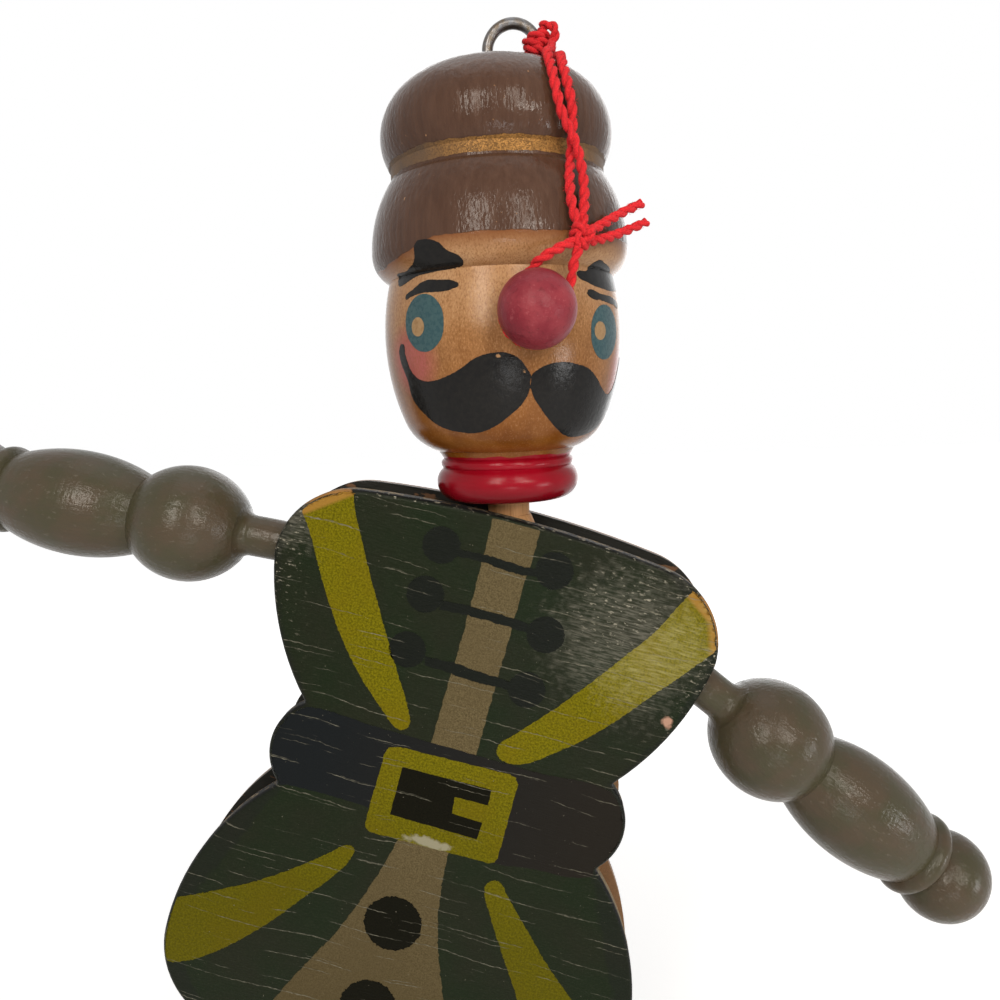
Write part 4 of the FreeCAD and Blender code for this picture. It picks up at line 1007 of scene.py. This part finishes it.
def ring_outline(middle, radius, points=10):
    """A round outline about a middle."""
    return [(middle[0] + radius * math.cos(2 * math.pi * step / points),
             middle[1] + radius * math.sin(2 * math.pi * step / points)) for step in range(points)]


fawn = CoatFinish("fawn coat paint")
paint = fawn.wash((0.058, 0.043, 0.019), fawn.speckle, 0.38, 0.62, (0.12, 0.093, 0.046))
paint = fawn.wash(paint, fawn.clouds, 0.4, 0.65, (0.08, 0.06, 0.028), 0.4)
# Painted shade: the fawn darkens towards the hem
paint = fawn.wash(paint, fawn.rise, -0.06, -0.1, (0.05, 0.036, 0.014), 0.5)
fawn.coat(paint, 0.42, 0.05)
coat_print("front_band", FRONT_BAND, 0.00003, fawn, 31, corners="VECTOR", ragged=0.14)

coat_black = CoatFinish("black coat paint")
paint = coat_black.wash((0.006, 0.0075, 0.0085), coat_black.across, -0.025, 0.03,
                        (0.0115, 0.0095, 0.007))
coat_black.coat(paint, 0.34, 0.055)
coat_print("belt", BELT, 0.00004, coat_black, 32)
thin_black = CoatFinish("thin black coat paint")
paint = thin_black.wash((0.004, 0.0052, 0.004), thin_black.speckle, 0.35, 0.65,
                        (0.007, 0.0085, 0.0056))
thin_black.coat(paint, 0.26, 0.06)
coat_print("frogs", FROGS, 0.00006, thin_black, 33, corners="VECTOR", ragged=0.16)
coat_print("toggles", [ring_outline(spot, TOGGLE_RADIUS) for spot in TOGGLES], 0.00004, thin_black,
           34, ragged=0.1)
deep_black = CoatFinish("button black")
paint = deep_black.wash((0.003, 0.003, 0.0015), deep_black.speckle, 0.35, 0.65,
                        (0.0065, 0.006, 0.003))
deep_black.coat(paint, 0.4, 0.03)
coat_print("buttons", [ring_outline(spot, BUTTON_RADIUS, 12) for spot in BUTTONS], 0.00006,
           deep_black, 35, ragged=0.2)

yellow = CoatFinish("yellow coat paint")
coarse = yellow.noise(0.00042, roughness=0.7)
paint = yellow.wash((0.066, 0.058, 0.001), coarse, 0.36, 0.64, (0.165, 0.142, 0.003))
paint = yellow.wash(paint, yellow.clouds, 0.45, 0.65, (0.125, 0.088, 0.002), 0.35)
paint = yellow.mix(yellow.near(-0.8, -60.9, 0.0055, 0.6, 4.4), paint, (0.3, 0.28, 0.2))
rim_wear = yellow.times(yellow.ramp(yellow.inset(), 0.0013, 0.0002, 0.0, 0.8),
                        yellow.ramp(yellow.rise, -0.03, -0.02))
paint = yellow.mix(rim_wear, paint, (0.29, 0.145, 0.03))
# Painted shade: the yellow darkens towards the skirt
foot_shade = yellow.ramp(yellow.rise, -0.04, -0.078, 0.0, 0.5)
paint = yellow.mix(foot_shade, paint, (0.045, 0.04, 0.001))
# Painted glare: pale streaks along the grain on the right stripe near the shoulder
stripe_glare = yellow.times(yellow.near(32, -12, 0.015, 0.35),
                          yellow.ramp(yellow.grain, 0.42, 0.66, 0.1, 0.5))
paint = yellow.mix(stripe_glare, paint, (0.36, 0.33, 0.15))
yellow.coat(paint, 0.36, 0.04)
coat_print("stripes", STRIPES, 0.00004, yellow, 36)
coat_print("buckle", BUCKLE, 0.00007, yellow, 37, corners="VECTOR")
coat_print("buckle_gap", BUCKLE_GAP, 0.00009, deep_black, 38, corners="VECTOR", ragged=0.06)


# Limbs: turned in one piece each, dipped in grey-brown paint that brush marks and the turning marks
# show through. The tails inside the coat are the same.
SHOULDER_TURNS = {"left_arm": -94.2, "right_arm": 114.0, "left_leg": -160.0, "right_leg": 160.0}
for limb, turn in SHOULDER_TURNS.items():
    limb_paint = WoodFinish("limb paint " + limb, NECK, (0, COAT_ROLL + math.radians(turn), 0))
    rings = limb_paint.noise(0.0007, detail=2.0, stretch=(0.05, 0.05, 1))
    dabs = limb_paint.noise(0.0007, stretch=(1, 1, 0.5), roughness=0.6)
    paint = limb_paint.wash((0.052, 0.047, 0.026), limb_paint.stains, 0.38, 0.62,
                            (0.066, 0.048, 0.03))
    paint = limb_paint.wash(paint, limb_paint.grain, 0.45, 0.7, (0.055, 0.045, 0.03), 0.5)
    paint = limb_paint.wash(paint, dabs, 0.62, 0.76, (0.16, 0.14, 0.11), 0.4)
    limb_paint.cover(paint, limb_paint.ramp(limb_paint.grain, 0.3, 0.7, 0.12, 0.26), 0.16)
    lay = limb_paint.plus(limb_paint.times(limb_paint.grain, 0.35), limb_paint.times(dabs, 0.45))
    lay = limb_paint.plus(lay, limb_paint.times(rings, 0.2))
    limb_paint.relief(lay, 0.00027, 1.0)
    finish_node(limb, limb_paint)


# Nails and brads: plain steel, driven in from the back to hold the neck, the limbs and the back
# board. They have gone dark.
nail_steel = Finish("dark nail steel")
rust = nail_steel.noise(0.0009, detail=4.0)
tone = nail_steel.wash((0.22, 0.21, 0.2), rust, 0.45, 0.65, (0.11, 0.055, 0.026))
nail_steel.set(Base_Color=tone, Metallic=nail_steel.ramp(rust, 0.45, 0.65, 0.9, 0.3),
               Roughness=nail_steel.ramp(rust, 0.3, 0.7, 0.35, 0.65))
nail_steel.relief(rust, 0.00006, 0.6)
for node_name in ("neck_pin", "left_shoulder_pin", "right_shoulder_pin", "left_hip_pin",
                  "right_hip_pin", "spacer_brads"):
    finish_node(node_name, nail_steel)


# Strings: thin twisted cotton cord, a little grimy, tied round the limbs' tails and to each other
# between the boards.
cotton = Finish("grubby cotton string")
twist_places = cotton.turned((0, 0, 0), (math.radians(35), math.radians(30), 0))
twist = cotton.noise(0.0005, detail=2.0, stretch=(1, 1, 0.3), places=twist_places)
grime = cotton.noise(0.005)
tone = cotton.wash((0.4, 0.35, 0.26), twist, 0.35, 0.65, (0.58, 0.53, 0.43))
tone = cotton.wash(tone, grime, 0.45, 0.7, (0.22, 0.18, 0.12), 0.5)
cotton.cover(tone, 0.9, 0.2)
cotton.relief(twist, 0.0002, 0.9)
for node_name in ("arm_string", "leg_string", "pull_line"):
    finish_node(node_name, cotton)
